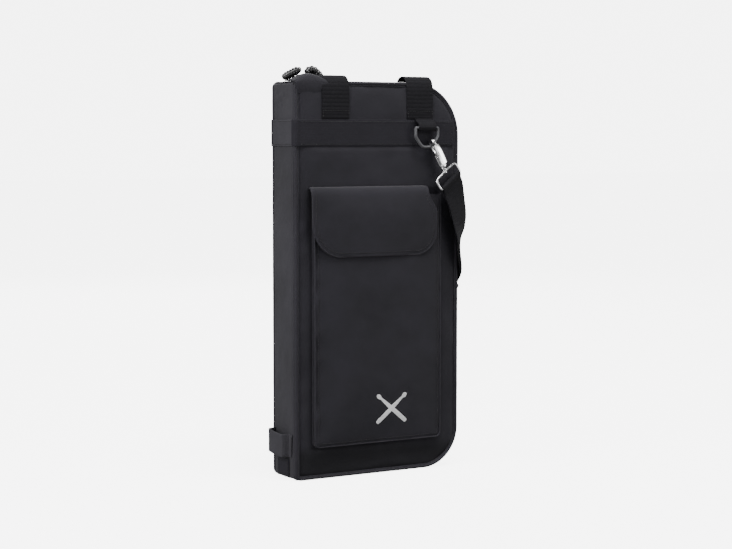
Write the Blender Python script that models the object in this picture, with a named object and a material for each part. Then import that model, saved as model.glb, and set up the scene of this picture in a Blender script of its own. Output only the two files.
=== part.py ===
"""Drum stick bag: two zipped half shells on a folding spine, with a front pocket and a clip-on strap.

The bag stands on its base and faces -Y. The spine is its -X side and the zip runs round the other three.
Sizes are in millimetres, and make_object scales them to metres.
"""

import math

import bpy
import bmesh
from mathutils import Vector

MM = 0.001

# The closed bag.
WIDTH, DEPTH, HEIGHT = 232.0, 60.0, 480.0
TOP_CORNER, BOTTOM_CORNER, SPINE_CORNER = 65.0, 50.0, 8.0
SPINE_X, FREE_X = -WIDTH / 2, WIDTH / 2
FACE_Y = DEPTH / 2
GAP = 0.3
# The frame's origin is under the middle of the whole footprint, and the closed bag's middle is here.
BAG_MIDDLE = Vector((6.0, 1.2, 0.0))

# Shell build-up, from the outside in.
PIPING_R, PIPING_SIDES = 2.4, 8
PANEL_T, BOARD_T, LINING_T, GUSSET_T = 2.5, 2.0, 1.0, 2.8
PANEL_INSET = 2 * PIPING_R + 0.6
TEETH_EDGE, TEETH_DEPTH = 0.5, 3.2
TAPE_DEPTH = 12.0
BAND_T, BAND_LOW, BAND_HIGH = 1.2, 402.0, 434.0
WEB_WIDTH, NARROW_WEB, WEB_T = 38.0, 26.0, 1.4
LOOP_X = (-61.0, 58.0)

# Stick sleeves inside each half.
SLEEVE_COUNT, SLEEVE_PITCH, SLEEVE_LOW, SLEEVE_TOP, SLEEVE_DEPTH = 4, 47.5, 14.0, 292.0, 19.0
SLEEVE_LEFT = -97.0

# Front pocket and flap.
POCKET_LEFT, POCKET_RIGHT, POCKET_LOW, POCKET_HIGH = -92.5, 85.0, 40.0, 343.0
POCKET_DEPTH, POCKET_CORNER = 7.0, 6.0
FLAP_LEFT, FLAP_RIGHT, FLAP_LOW, FLAP_HIGH = -98.0, 76.0, 269.0, 354.0
FLAP_T = 1.8
# The flap's free-side corner slopes in towards its seam, clear of the strap's upper ring as the flap lifts.
FLAP_NARROWING, FLAP_SLOPE = 11.0, 34.0

# Zip sliders on the top edge.
SLIDER_LENGTH, SLIDER_WIDTH = 24.0, 10.4
SLIDER_X = {"left": -100.0, "right": -73.0}

# Strap hardware.
D_BAR = Vector((63.0, -39.0, 424.0))
D_HALF, D_DROP, D_WIRE = 16.0, 23.0, 2.0
HOOK_EYE_R, HOOK_WIRE, HOOK_LENGTH = 5.2, 1.9, 31.5
RING_HALF, RING_REACH, RING_WIRE = 21.0, 13.5, 1.6
# The gate's hinge, along the hook from its eye and out from the hook's middle.
GATE_DOWN, GATE_OUT = 16.5, 6.4
# (out of the panel, up) along a webbing tab that folds round a D-ring's bar, with the bar at (0, 0).
TAB_ROUTE = [
    (6.9, 11.0),
    (6.1, 7.0),
    (3.3, 1.6),
    (2.7, -1.8),
    (0.0, -3.4),
    (-2.7, -1.8),
    (-3.1, 1.6),
    (3.7, 7.0),
    (5.0, 11.0),
]
UPPER_EYE = Vector((72.0, -39.0, 403.6))
UPPER_STEM = Vector((0.42, -0.11, -0.90)).normalized()
UPPER_BAR = Vector((0.81, 0.25, 0.53)).normalized()
LOWER_SLOPE = Vector((0.86, 0.0, 0.51)).normalized()
LOWER_BAR = Vector((-94.2, 39.0, 39.5))
OUTWARD_BACK = Vector((0, 1, 0))
ADJUSTER = Vector((119.9, 2.0, 233.0))
ADJUSTER_ALONG = Vector((0, 0.66, -0.75)).normalized()
SLIDE_HALF_LENGTH = 13.0
# The way the strap leaves its upper ring, square to the ring's bar.
UPPER_AWAY = Vector((0.475, 0.251, -0.844)).normalized()
# The strap's own route, round the free side: the strap's middle, and the way its width points.
UPPER_ROUTE = [
    (Vector((108.0, -38.3, 330.0)), Vector((0.72, 0.38, 0.58))),
    (Vector((113.2, -36.8, 305.0)), Vector((0.66, 0.46, 0.60))),
    (Vector((117.4, -34.0, 280.0)), Vector((0.46, 0.60, 0.65))),
    (Vector((120.3, -17.9, 255.6)), Vector((0.06, 0.75, 0.66))),
]
LOWER_ROUTE = [
    (Vector((120.1, 21.6, 210.8)), Vector((0.04, 0.74, 0.67))),
    (Vector((119.2, 35.6, 197.4)), Vector((-0.22, 0.44, 0.86))),
    (Vector((110.0, 43.6, 183.5)), Vector((-0.50, 0.04, 0.86))),
    (Vector((85.0, 42.0, 160.5)), Vector((-0.55, 0.0, 0.83))),
    (Vector((56.0, 40.0, 134.5)), Vector((-0.55, 0.0, 0.83))),
    (Vector((25.0, 39.0, 110.5)), Vector((-0.52, 0.0, 0.85))),
]


def material(name, color, roughness, metallic=0.0):
    made = bpy.data.materials.new(name)
    made.use_nodes = True
    shader = made.node_tree.nodes["Principled BSDF"]
    shader.inputs["Base Color"].default_value = (*color, 1.0)
    shader.inputs["Roughness"].default_value = roughness
    shader.inputs["Metallic"].default_value = metallic
    return made


def joint_empty(name, place, parent=None):
    """An empty on a joint's axis. place is in the closed bag's coordinates."""
    empty = bpy.data.objects.new(name, None)
    bpy.context.scene.collection.objects.link(empty)
    empty["place"] = list(place)
    if parent:
        empty.parent = parent
        empty.location = (Vector(place) - Vector(parent["place"])) * MM
    else:
        empty.location = (Vector(place) + BAG_MIDDLE) * MM
    return empty


def make_object(name, vertices, faces, skin, carrier):
    """One closed solid, from points in the closed bag's coordinates, parented to its carrier empty."""
    mesh = bpy.data.meshes.new(name)
    origin = Vector(carrier["place"])
    mesh.from_pydata([(Vector(point) - origin) * MM for point in vertices], [], faces)
    shape = bmesh.new()
    shape.from_mesh(mesh)
    bmesh.ops.recalc_face_normals(shape, faces=shape.faces)
    shape.to_mesh(mesh)
    shape.free()
    mesh.materials.append(skin)
    mesh.shade_smooth()
    mesh.set_sharp_from_angle(angle=math.radians(35))
    made = bpy.data.objects.new(name, mesh)
    made.parent = carrier
    bpy.context.scene.collection.objects.link(made)
    return made


def skin_rings(name, rings, skin, carrier, closed=False):
    """A solid through rings of points: each ring joins the next, and the ends are capped or meet."""
    size = len(rings[0])
    vertices = [point for ring in rings for point in ring]
    faces = []
    for i in range(len(rings) if closed else len(rings) - 1):
        a, b = i * size, (i + 1) % len(rings) * size
        for j in range(size):
            k = (j + 1) % size
            faces.append((a + j, a + k, b + k, b + j))
    if not closed:
        last = (len(rings) - 1) * size
        faces.append(tuple(range(size)))
        faces.append(tuple(range(last, last + size)))
    return make_object(name, vertices, faces, skin, carrier)


def extrude_y(name, outline, low, high, skin, carrier):
    """A plate: an outline of (x, z) points extruded from y = low to y = high."""
    return skin_rings(name, [[(x, y, z) for x, z in outline] for y in (low, high)], skin, carrier)


def extrude_x(name, outline, low, high, skin, carrier):
    """A bar: an outline of (y, z) points extruded from x = low to x = high."""
    return skin_rings(name, [[(x, y, z) for y, z in outline] for x in (low, high)], skin, carrier)


def arc(middle, radius, start, stop, steps):
    """(x, z, outward x, outward z) along an arc, from the start angle to the stop angle in degrees."""
    found = []
    for i in range(steps + 1):
        angle = math.radians(start + (stop - start) * i / steps)
        out_x, out_z = math.cos(angle), math.sin(angle)
        found.append((middle[0] + radius * out_x, middle[1] + radius * out_z, out_x, out_z))
    return found


def edge_route(start_x, end_x, steps=7):
    """The zipped edge, from the spine along the base, up the free side and back along the top."""
    route = [(start_x, 0.0, 0.0, -1.0)]
    route += arc((FREE_X - BOTTOM_CORNER, BOTTOM_CORNER), BOTTOM_CORNER, -90, 0, steps)
    route += arc((FREE_X - TOP_CORNER, HEIGHT - TOP_CORNER), TOP_CORNER, 0, 90, steps)
    return route + [(end_x, HEIGHT, 0.0, 1.0)]


def rim_route(steps=7):
    """The whole rim of one shell, with its two tight corners at the spine."""
    corner = SPINE_CORNER
    route = arc((FREE_X - BOTTOM_CORNER, BOTTOM_CORNER), BOTTOM_CORNER, -90, 0, steps)
    route += arc((FREE_X - TOP_CORNER, HEIGHT - TOP_CORNER), TOP_CORNER, 0, 90, steps)
    route += arc((SPINE_X + corner, HEIGHT - corner), corner, 90, 180, 3)
    return route + arc((SPINE_X + corner, corner), corner, 180, 270, 3)


def inset_outline(inset):
    """The rim moved inwards, as (x, z) points. At the tight corners the inset stops at a point."""
    return [
        (x - min(inset, SPINE_CORNER - 1) * nx, z - min(inset, SPINE_CORNER - 1) * nz)
        if x < SPINE_X + SPINE_CORNER
        else (x - inset * nx, z - inset * nz)
        for x, z, nx, nz in rim_route()
    ]


def edge_strip(name, section, start_x, skin, carrier):
    """A strip along the zipped edge. The section is (outward, y) points."""
    rings = [
        [(x + out * nx, y, z + out * nz) for out, y in section]
        for x, z, nx, nz in edge_route(start_x, start_x)
    ]
    return skin_rings(name, rings, skin, carrier)


def box_section(low_out, high_out, y_low, y_high):
    return [(low_out, y_low), (high_out, y_low), (high_out, y_high), (low_out, y_high)]


def frames_along(points, width_hints):
    """(point, width direction, thickness direction) at each point, with the width square to the route."""
    found = []
    for i, point in enumerate(points):
        along = (points[min(i + 1, len(points) - 1)] - points[max(i - 1, 0)]).normalized()
        across = width_hints[i] - width_hints[i].dot(along) * along
        across.normalize()
        found.append((point, across, along.cross(across)))
    return found


def ribbon_rings(points, width_hints, width, thickness):
    rings = []
    for point, across, up in frames_along(points, width_hints):
        low, high = point - across * width / 2, point + across * width / 2
        half = up * thickness / 2
        rings.append([low - half, high - half, high + half, low + half])
    return rings


def ribbon(name, points, width_hints, width, thickness, skin, carrier):
    """Flat webbing of one thickness along a route."""
    return skin_rings(name, ribbon_rings(points, width_hints, width, thickness), skin, carrier)


def yz_ribbon(name, middle_x, width, thickness, route, skin, carrier):
    """Webbing that lies across the bag: a route of (y, z) points with its width along X."""
    points = [Vector((middle_x, y, z)) for y, z in route]
    return ribbon(name, points, [Vector((1, 0, 0))] * len(points), width, thickness, skin, carrier)


def tube(name, points, radii, skin, carrier, sides=8, closed=False):
    """A round bar along a flat route, with a radius at each point."""
    count = len(points)
    normal = Vector((0, 0, 0))
    for i in range(1, count - 1):
        normal += (points[i] - points[i - 1]).cross(points[i + 1] - points[i])
    if normal.length < 1e-6:
        normal = (points[-1] - points[0]).orthogonal()
    normal.normalize()
    rings = []
    for i, point in enumerate(points):
        if closed:
            along = points[(i + 1) % count] - points[i - 1]
        else:
            along = points[min(i + 1, count - 1)] - points[max(i - 1, 0)]
        across = along.normalized().cross(normal)
        ring = []
        for j in range(sides):
            angle = math.tau * (j + 0.5) / sides
            ring.append(point + radii[i] * (math.cos(angle) * across + math.sin(angle) * normal))
        rings.append(ring)
    return skin_rings(name, rings, skin, carrier, closed)


def union(made, others):
    """Joins helper solids into one body, and keeps the helpers out of the model."""
    for other in others:
        cut = made.modifiers.new("join_" + other.name, "BOOLEAN")
        cut.operation = "UNION"
        cut.solver = "EXACT"
        cut.object = other
        other.hide_render = True
        other.display_type = "WIRE"
    return made


def smooth_points(points, steps):
    """Points along a Catmull-Rom curve through the route's own points."""
    ends = [2 * points[0] - points[1], *points, 2 * points[-1] - points[-2]]
    found = []
    for i in range(1, len(ends) - 2):
        a, b, c, d = ends[i - 1 : i + 3]
        for j in range(steps):
            t = j / steps
            found.append(
                0.5
                * (
                    2 * b
                    + (c - a) * t
                    + (2 * a - 5 * b + 4 * c - d) * t * t
                    + (3 * b - a - 3 * c + d) * t**3
                )
            )
    return found + [points[-1]]


# ---------------------------------------------------------------- materials


def all_materials():
    return {
        "front_fabric": material("front_fabric", (0.030, 0.029, 0.034), 0.85),
        "spine_fabric": material("spine_fabric", (0.055, 0.054, 0.060), 0.85),
        "webbing": material("webbing", (0.022, 0.022, 0.025), 0.8),
        "lining": material("lining", (0.040, 0.040, 0.045), 0.8),
        "board": material("board", (0.10, 0.10, 0.10), 0.9),
        "piping": material("piping", (0.020, 0.020, 0.022), 0.6),
        "zip_tape": material("zip_tape", (0.016, 0.016, 0.018), 0.85),
        "zip_teeth": material("zip_teeth", (0.012, 0.012, 0.013), 0.45),
        "slider_metal": material("slider_metal", (0.05, 0.05, 0.055), 0.35, 0.9),
        "pull_rubber": material("pull_rubber", (0.015, 0.015, 0.016), 0.5),
        "black_plastic": material("black_plastic", (0.09, 0.09, 0.10), 0.45),
        "nickel": material("nickel", (0.75, 0.75, 0.76), 0.18, 1.0),
        "print": material("print", (0.85, 0.85, 0.85), 0.7),
        "hook_tape": material("hook_tape", (0.018, 0.018, 0.019), 0.95),
    }


# ---------------------------------------------------------------- shells


def half_shell(side, sign, skins, carrier):
    """One half of the case. sign is -1 for the front half and +1 for the back half."""

    def plate(part, inset, outer, thickness, skin):
        low, high = sorted((sign * outer, sign * (outer - thickness)))
        return extrude_y(f"{side}_{part}", inset_outline(inset), low, high, skins[skin], carrier)

    def strip(part, out_low, out_high, y_low, y_high, start_x, skin):
        section = box_section(out_low, out_high, sign * y_low, sign * y_high)
        return edge_strip(f"{side}_{part}", section, start_x, skins[skin], carrier)

    panel_y = FACE_Y - 0.5
    board_y = panel_y - PANEL_T - GAP
    lining_y = board_y - BOARD_T - GAP
    plate("panel", PANEL_INSET, panel_y, PANEL_T, "front_fabric")
    plate("stiffener", PANEL_INSET + 1, board_y, BOARD_T, "board")
    plate("lining", PANEL_INSET + 1, lining_y, LINING_T, "lining")

    rim_y = sign * (FACE_Y - PIPING_R)
    turns = [math.tau * (i + 0.5) / PIPING_SIDES for i in range(PIPING_SIDES)]
    rings = []
    for x, z, nx, nz in rim_route():
        middle = Vector((x - PIPING_R * nx, rim_y, z - PIPING_R * nz))
        out, across = Vector((nx, 0, nz)), Vector((0, 1, 0))
        rings.append([middle + PIPING_R * (math.cos(a) * out + math.sin(a) * across) for a in turns])
    skin_rings(f"{side}_piping", rings, skins["piping"], carrier, closed=True)

    gusset_y = FACE_Y - 2 * PIPING_R - GAP
    strip("gusset", -GUSSET_T, 0, TEETH_EDGE + TEETH_DEPTH + GAP, gusset_y, SPINE_X + 4, "front_fabric")
    strip("zip_teeth", -GUSSET_T, -0.6, TEETH_EDGE, TEETH_EDGE + TEETH_DEPTH, SPINE_X + 8, "zip_teeth")
    tape_out = -GUSSET_T - GAP
    strip("zip_tape", tape_out - 1.0, tape_out, TEETH_EDGE + 0.2, TAPE_DEPTH, SPINE_X + 8, "zip_tape")
    stick_sleeves(f"{side}_stick_sleeves", sign, lining_y - LINING_T - GAP, skins["lining"], carrier)

    low, high = sorted((sign * (panel_y + GAP), sign * (panel_y + GAP + BAND_T)))
    left, right = SPINE_X + 2 * PIPING_R + 0.8, FREE_X - 2 * PIPING_R - 3.8
    band = [(left, BAND_LOW), (right, BAND_LOW), (right, BAND_HIGH), (left, BAND_HIGH)]
    extrude_y(f"{side}_band", band, low, high, skins["webbing"], carrier)


def hanging_loops(skins, carrier):
    """Two loops on the front half: each goes up the panel, over the rim in an arch and down to the gusset."""
    lie = FACE_Y + 1.0
    crest = HEIGHT + 6.6
    arch = [
        (lie, BAND_HIGH + 1.2),
        (lie, HEIGHT - 4),
        (lie - 0.4, HEIGHT + 1.5),
        (lie - 3.0, HEIGHT + 5.2),
        (lie - 7.5, crest),
        (lie - 12.0, crest + 0.2),
        (lie - 16.5, crest - 1.2),
        (lie - 19.6, HEIGHT + 2.6),
        (lie - 21.0, HEIGHT + 1.1),
        (lie - 24.4, HEIGHT + 1.05),
    ]
    route = [(-y, z) for y, z in arch]
    for where, x in zip(("left", "right"), LOOP_X):
        yz_ribbon(f"front_{where}_hanging_loop", x, WEB_WIDTH, WEB_T, route, skins["webbing"], carrier)


def stick_sleeves(name, sign, outer_y, skin, carrier):
    """Fabric sleeves in a row, open at the top and closed at the bottom, on the lining."""
    bottom, wall = SLEEVE_LOW, 1.3
    floor = bottom + 1.4
    back, front = sign * outer_y, sign * (outer_y - SLEEVE_DEPTH)
    outer, holes = [], []
    seam = 3.0
    slope = 8.0

    def bump(x_low, x_high, y_back, y_front):
        inward = math.copysign(slope, y_back - y_front)
        return [
            (x_low, y_back),
            (x_low, y_front + inward),
            (x_low + slope, y_front),
            (x_high - slope, y_front),
            (x_high, y_front + inward),
            (x_high, y_back),
        ]

    base_y = back - sign * 1.4
    for i in range(SLEEVE_COUNT):
        x_low = SLEEVE_LEFT + i * SLEEVE_PITCH + seam / 2
        x_high = x_low + SLEEVE_PITCH - seam
        outer += bump(x_low, x_high, base_y, front)
        holes.append(bump(x_low + wall, x_high - wall, base_y - sign * 0.6, front + sign * wall))
    outer += [(outer[-1][0], back), (outer[0][0], back)]

    vertices = [(x, y, bottom) for x, y in outer] + [(x, y, SLEEVE_TOP) for x, y in outer]
    count = len(outer)
    faces = [(i, (i + 1) % count, (i + 1) % count + count, i + count) for i in range(count)]
    faces.append(tuple(range(count)))
    rims = [list(range(count, 2 * count))]
    for hole in holes:
        start = len(vertices)
        vertices += [(x, y, floor) for x, y in hole] + [(x, y, SLEEVE_TOP) for x, y in hole]
        size = len(hole)
        for i in range(size):
            k = (i + 1) % size
            faces.append((start + i, start + k, start + k + size, start + i + size))
        faces.append(tuple(range(start, start + size)))
        rims.append(list(range(start + size, start + 2 * size)))
    made = make_object(name, vertices, faces, skin, carrier)
    shape = bmesh.new()
    shape.from_mesh(made.data)
    shape.verts.ensure_lookup_table()
    loops = []
    for rim in rims:
        for i, corner in enumerate(rim):
            pair = (shape.verts[corner], shape.verts[rim[(i + 1) % len(rim)]])
            loops.append(shape.edges.get(pair))
    bmesh.ops.triangle_fill(shape, use_beauty=True, edges=loops)
    bmesh.ops.recalc_face_normals(shape, faces=shape.faces)
    shape.to_mesh(made.data)
    shape.free()


def spine(skins, carrier):
    half = FACE_Y - 2 * PIPING_R - 2 * GAP
    low, high = 2.6, HEIGHT - 2.6

    def plate(name, x_outer, thickness, half_y, z_low, z_high, skin):
        outline = [(-half_y, z_low), (half_y, z_low), (half_y, z_high), (-half_y, z_high)]
        return extrude_x(name, outline, x_outer, x_outer + thickness, skins[skin], carrier)

    plate("spine_panel", SPINE_X, 2.6, half, low, high, "spine_fabric")
    plate("spine_stiffener", SPINE_X + 2.6 + GAP, 2.0, half - 3, low + 6, high - 6, "board")
    plate("spine_band", SPINE_X - GAP - BAND_T, BAND_T, half, BAND_LOW, BAND_HIGH, "webbing")
    plate("spine_lower_tab", SPINE_X - GAP - WEB_T, WEB_T, 14.0, 2.6, 25.0, "webbing")

    stand = 9.5
    lie = SPINE_X - GAP - WEB_T / 2
    half_loop = half - 0.6
    route = [(lie, -half_loop), (lie, -half_loop + 5)]
    route += [(lie - 2.6, -half_loop + 6.6), (lie - stand + 1.6, -half_loop + 8)]
    route += [(lie - stand, -half_loop + 10.5), (lie - stand - 0.8, 0.0)]
    route += [(x, -y) for x, y in reversed(route[:-1])]
    points = [Vector((x, y, 44.0)) for x, y in route]
    upright = [Vector((0, 0, 1))] * len(points)
    ribbon("spine_webbing_loop", points, upright, NARROW_WEB, WEB_T, skins["webbing"], carrier)


# ---------------------------------------------------------------- front pocket


def pocket_outline(inset):
    """(x, z) down the left side, along the bottom and up the right side of the pocket."""
    left, right = POCKET_LEFT + inset, POCKET_RIGHT - inset
    low, corner = POCKET_LOW + inset, POCKET_CORNER - inset
    route = [(left, POCKET_HIGH)]
    route += [(x, z) for x, z, _, _ in arc((left + corner, low + corner), corner, 180, 270, 4)]
    route += [(x, z) for x, z, _, _ in arc((right - corner, low + corner), corner, 270, 360, 4)]
    return route + [(right, POCKET_HIGH)]


def front_pocket(skins, carrier):
    root_y = -(FACE_Y - 0.5) - GAP
    wall = 1.6
    front_y = root_y - POCKET_DEPTH
    outer, inner = pocket_outline(0), pocket_outline(wall)
    rings = [
        [(x, root_y, z), (x, front_y + wall + GAP, z), (u, front_y + wall + GAP, w), (u, root_y, w)]
        for (x, z), (u, w) in zip(outer, inner)
    ]
    skin_rings("pocket_gusset", rings, skins["front_fabric"], carrier)
    extrude_y("pocket_panel", pocket_outline(0), front_y, front_y + wall, skins["front_fabric"], carrier)
    low, high = POCKET_HIGH - 46, POCKET_HIGH - 24
    strip = [(-45, low), (25, low), (25, high), (-45, high)]
    extrude_y("pocket_hook_tape", strip, front_y - GAP - 0.9, front_y - GAP, skins["hook_tape"], carrier)
    return root_y, front_y


def pocket_flap(root_y, front_y, skins, carrier):
    """A flap that hangs over the pocket's mouth from a seam along its top."""
    hang_y = front_y - 2.8 - FLAP_T
    corner_l, corner_r = 34.0, 28.0
    outline = [(FLAP_LEFT, FLAP_HIGH - 9)]
    corners = arc((FLAP_LEFT + corner_l, FLAP_LOW + corner_l), corner_l, 180, 270, 5)
    corners += arc((FLAP_RIGHT - corner_r, FLAP_LOW + corner_r), corner_r, 270, 360, 5)
    outline += [(x, z) for x, z, _, _ in corners]
    outline += [(FLAP_RIGHT, FLAP_HIGH - FLAP_SLOPE), (FLAP_RIGHT - FLAP_NARROWING, FLAP_HIGH - 9)]
    made = extrude_y("pocket_flap", outline, hang_y, hang_y + FLAP_T, skins["front_fabric"], carrier)
    roof = [
        (root_y, FLAP_HIGH),
        (root_y, FLAP_HIGH - FLAP_T),
        (hang_y + 3.0, FLAP_HIGH - 3.4),
        (hang_y + FLAP_T, FLAP_HIGH - 6.5),
        (hang_y + FLAP_T, FLAP_HIGH - 10.5),
        (hang_y, FLAP_HIGH - 10.5),
        (hang_y, FLAP_HIGH - 5.5),
        (hang_y + 2.0, FLAP_HIGH - 1.4),
    ]
    root_right = FLAP_RIGHT - FLAP_NARROWING
    top = extrude_x("flap_root_helper", roof, FLAP_LEFT, root_right, skins["front_fabric"], carrier)
    union(made, [top])
    low, high = POCKET_HIGH - 46, POCKET_HIGH - 24
    strip = [(-45, low), (25, low), (25, high), (-45, high)]
    tape_y = hang_y + FLAP_T + GAP
    extrude_y("flap_loop_tape", strip, tape_y, tape_y + 0.9, skins["hook_tape"], carrier)


def crossed_sticks_print(front_y, skins, carrier):
    """A generic print on the pocket: two crossed drum sticks in one flat shape."""
    middle = Vector((12.0, 81.0))
    length, low, high = 27.0, front_y - GAP - 0.4, front_y - GAP
    made = None
    for i, lean in enumerate((-50, 50)):
        angle = math.radians(90 + lean)
        along = Vector((math.cos(angle), math.sin(angle)))
        across = Vector((-along.y, along.x))
        profile = [(-length, 2.4), (length - 12, 2.4), (length - 5, 1.4)]
        profile += [(length - 4, 2.7), (length - 1, 2.7), (length, 1.2)]
        side = [middle + along * s + across * w for s, w in profile]
        side += [middle + along * s - across * w for s, w in reversed(profile)]
        name = "pocket_print" if made is None else "print_helper"
        inset = 0.02 * i
        outline = [(p.x, p.y) for p in side]
        stick = extrude_y(name, outline, low + inset, high - inset, skins["print"], carrier)
        made = union(made, [stick]) if made else stick


# ---------------------------------------------------------------- zip sliders


def zip_slider(side, skins, slider_carrier, pull_carrier):
    """A slider on the back row of teeth, with a web between the rows, and its pull hinged on the bridge."""
    middle_x = SLIDER_X[side]
    half_l, half_w = SLIDER_LENGTH / 2, SLIDER_WIDTH / 2
    top_z = HEIGHT + 0.1
    under_z = HEIGHT - GUSSET_T - 1.0 - 3 * GAP
    plate = [
        (middle_x - half_l, -half_w * 0.6),
        (middle_x - half_l * 0.3, -half_w),
        (middle_x + half_l, -half_w),
        (middle_x + half_l, half_w),
        (middle_x - half_l * 0.3, half_w),
        (middle_x - half_l, half_w * 0.6),
    ]
    metal = skins["slider_metal"]

    def layer(name, outline, z_low, z_high):
        rings = [[(x, y, z) for x, y in outline] for z in (z_low, z_high)]
        return skin_rings(name, rings, metal, slider_carrier)

    body = layer(f"{side}_zip_slider", plate, top_z, top_z + 1.8)
    web = [(middle_x - 8, -0.2), (middle_x + 8, -0.2), (middle_x + 8, 0.2), (middle_x - 8, 0.2)]
    helpers = [
        layer(f"{side}_web_helper", web, under_z - 0.6, top_z + 0.6),
        layer(f"{side}_under_helper", plate, under_z - 1.4, under_z),
    ]
    bridge = [(-7.5, 1.2), (-7.5, 3.9), (-5.5, 5.2), (5.5, 5.2), (7.5, 3.9), (7.5, 1.2)]
    bridge += [(5.9, 1.2), (5.9, 3.1), (4.9, 3.7), (-4.9, 3.7), (-5.9, 3.1), (-5.9, 1.2)]
    outline = [(middle_x + x, top_z + z) for x, z in bridge]
    helpers.append(extrude_y(f"{side}_bridge_helper", outline, -1.3, 1.3, metal, slider_carrier))
    union(body, helpers)

    # The pull: a ring round the bridge and a chunky grip that lies towards the free side.
    ring_z = top_z + 3.0
    grip_z = ring_z + 9.6
    corners = [(-3.4, ring_z - 0.4), (3.4, ring_z - 0.4), (3.4, ring_z + 8.4), (-3.4, ring_z + 8.4)]
    loop = [Vector((middle_x + 1.5, y, z)) for y, z in corners]
    rubber = skins["pull_rubber"]
    ring = tube(f"{side}_zip_pull", loop, [0.8] * 4, rubber, pull_carrier, sides=6, closed=True)
    grip = [(-5.0, 0.4), (-3.0, 3.4), (4.0, 4.4), (10.0, 2.8)]
    grip += [(13.0, -1.2), (11.6, -2.8), (5.0, -1.6), (-4.0, -1.6)]
    outline = [(middle_x + 1.5 + x, grip_z + z) for x, z in grip]
    handle = extrude_y(f"{side}_grip_helper", outline, -4.2, 4.2, skins["pull_rubber"], pull_carrier)
    union(ring, [handle])


def zip_end_cover(skins, carrier):
    """The padded fabric hump in front of the zip's end."""
    outline = [(SPINE_X + 4, HEIGHT + GAP)]
    for i in range(9):
        angle = math.pi * (1 - i / 8)
        outline.append((SPINE_X + 18.6 + 14.6 * math.cos(angle), HEIGHT + 1.0 + 9.6 * math.sin(angle)))
    outline.append((SPINE_X + 33.2, HEIGHT + GAP))
    extrude_y("zip_end_cover", outline, -FACE_Y + 4.5, -7.0, skins["front_fabric"], carrier)


# ---------------------------------------------------------------- shoulder strap


def d_ring(name, bar, down, side, skins, carrier):
    """A D-ring: a straight bar through bar, and a bow that reaches down from it."""
    points = [
        (-D_HALF, 0),
        (D_HALF, 0),
        (D_HALF, 10),
        (D_HALF - 3.0, 17),
        (D_HALF - 8.5, 21.5),
        (0, D_DROP),
        (-D_HALF + 8.5, 21.5),
        (-D_HALF + 3.0, 17),
        (-D_HALF, 10),
    ]
    route = [bar + side * x + down * d for x, d in points]
    return tube(name, route, [D_WIRE] * len(route), skins["black_plastic"], carrier, closed=True)


def snap_hook(prefix, eye, stem, outward, skins, hook_carrier, gate_carrier):
    """A trigger snap hook: a hook with a barrel, and a gate that closes it. outward is the gate's side."""

    def at(down, out):
        return eye + stem * down + outward * out

    route, radii = [at(0.9, HOOK_EYE_R)], [HOOK_WIRE]
    for i in range(7):
        angle = math.pi * i / 6
        route.append(at(-HOOK_EYE_R * math.sin(angle), HOOK_EYE_R * math.cos(angle)))
        radii.append(HOOK_WIRE)
    route += [at(4.5, -5.0), at(8.5, -3.6), at(12.5, -1.2), at(16.0, 0), at(HOOK_LENGTH - 4, 0), at(HOOK_LENGTH, 0)]
    radii += [2.0, 2.6, 3.6, 4.2, 4.2, 3.2]
    tube(f"{prefix}_snap_hook", route, radii, skins["nickel"], hook_carrier)
    gate = [at(3.4, 5.3), at(9.5, 5.9), at(GATE_DOWN, GATE_OUT)]
    tube(f"{prefix}_hook_gate", gate, [1.3, 1.4, 1.5], skins["nickel"], gate_carrier, sides=6)


def strap_ring(prefix, eye, stem, bar, skins, carrier):
    """The swivel ring that the strap goes through. Returns the middle of its far bar and the way out."""
    out = (stem - stem.dot(bar) * bar).normalized()
    middle = eye + stem * (HOOK_LENGTH + 5.5)
    corners = [(-RING_HALF + 3, 0), (RING_HALF - 3, 0), (RING_HALF - 0.6, 1.4), (RING_HALF, 4)]
    corners += [(RING_HALF, RING_REACH - 2), (RING_HALF - 2, RING_REACH)]
    corners += [(-RING_HALF + 2, RING_REACH), (-RING_HALF, RING_REACH - 2)]
    corners += [(-RING_HALF, 4), (-RING_HALF + 0.6, 1.4)]
    route = [middle + bar * b + out * r for b, r in corners]
    radii = [RING_WIRE] * len(route)
    made = tube(f"{prefix}_strap_ring", route, radii, skins["nickel"], carrier, closed=True)
    start = eye + stem * (HOOK_LENGTH + GAP)
    post = [start, start + stem * 1.6, start + stem * 3.6, middle + out * 0.4]
    helper = tube(f"{prefix}_post_helper", post, [2.9, 2.9, 1.9, 1.9], skins["nickel"], carrier)
    union(made, [helper])
    return middle + out * RING_REACH, out


def sloping_tab(name, bar, up, side, out, skins, carrier):
    """The same tab for a bar that leans. out points away from the panel."""
    points = [bar - out * y + up * z for y, z in TAB_ROUTE]
    ribbon(name, points, [side] * len(points), NARROW_WEB, 1.2, skins["webbing"], carrier)


def strap_rings(route, thickness, steps=3):
    points = smooth_points([place for place, _ in route], steps)
    hints = smooth_points([width for _, width in route], steps)
    return ribbon_rings(points, hints, WEB_WIDTH, thickness)


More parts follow.
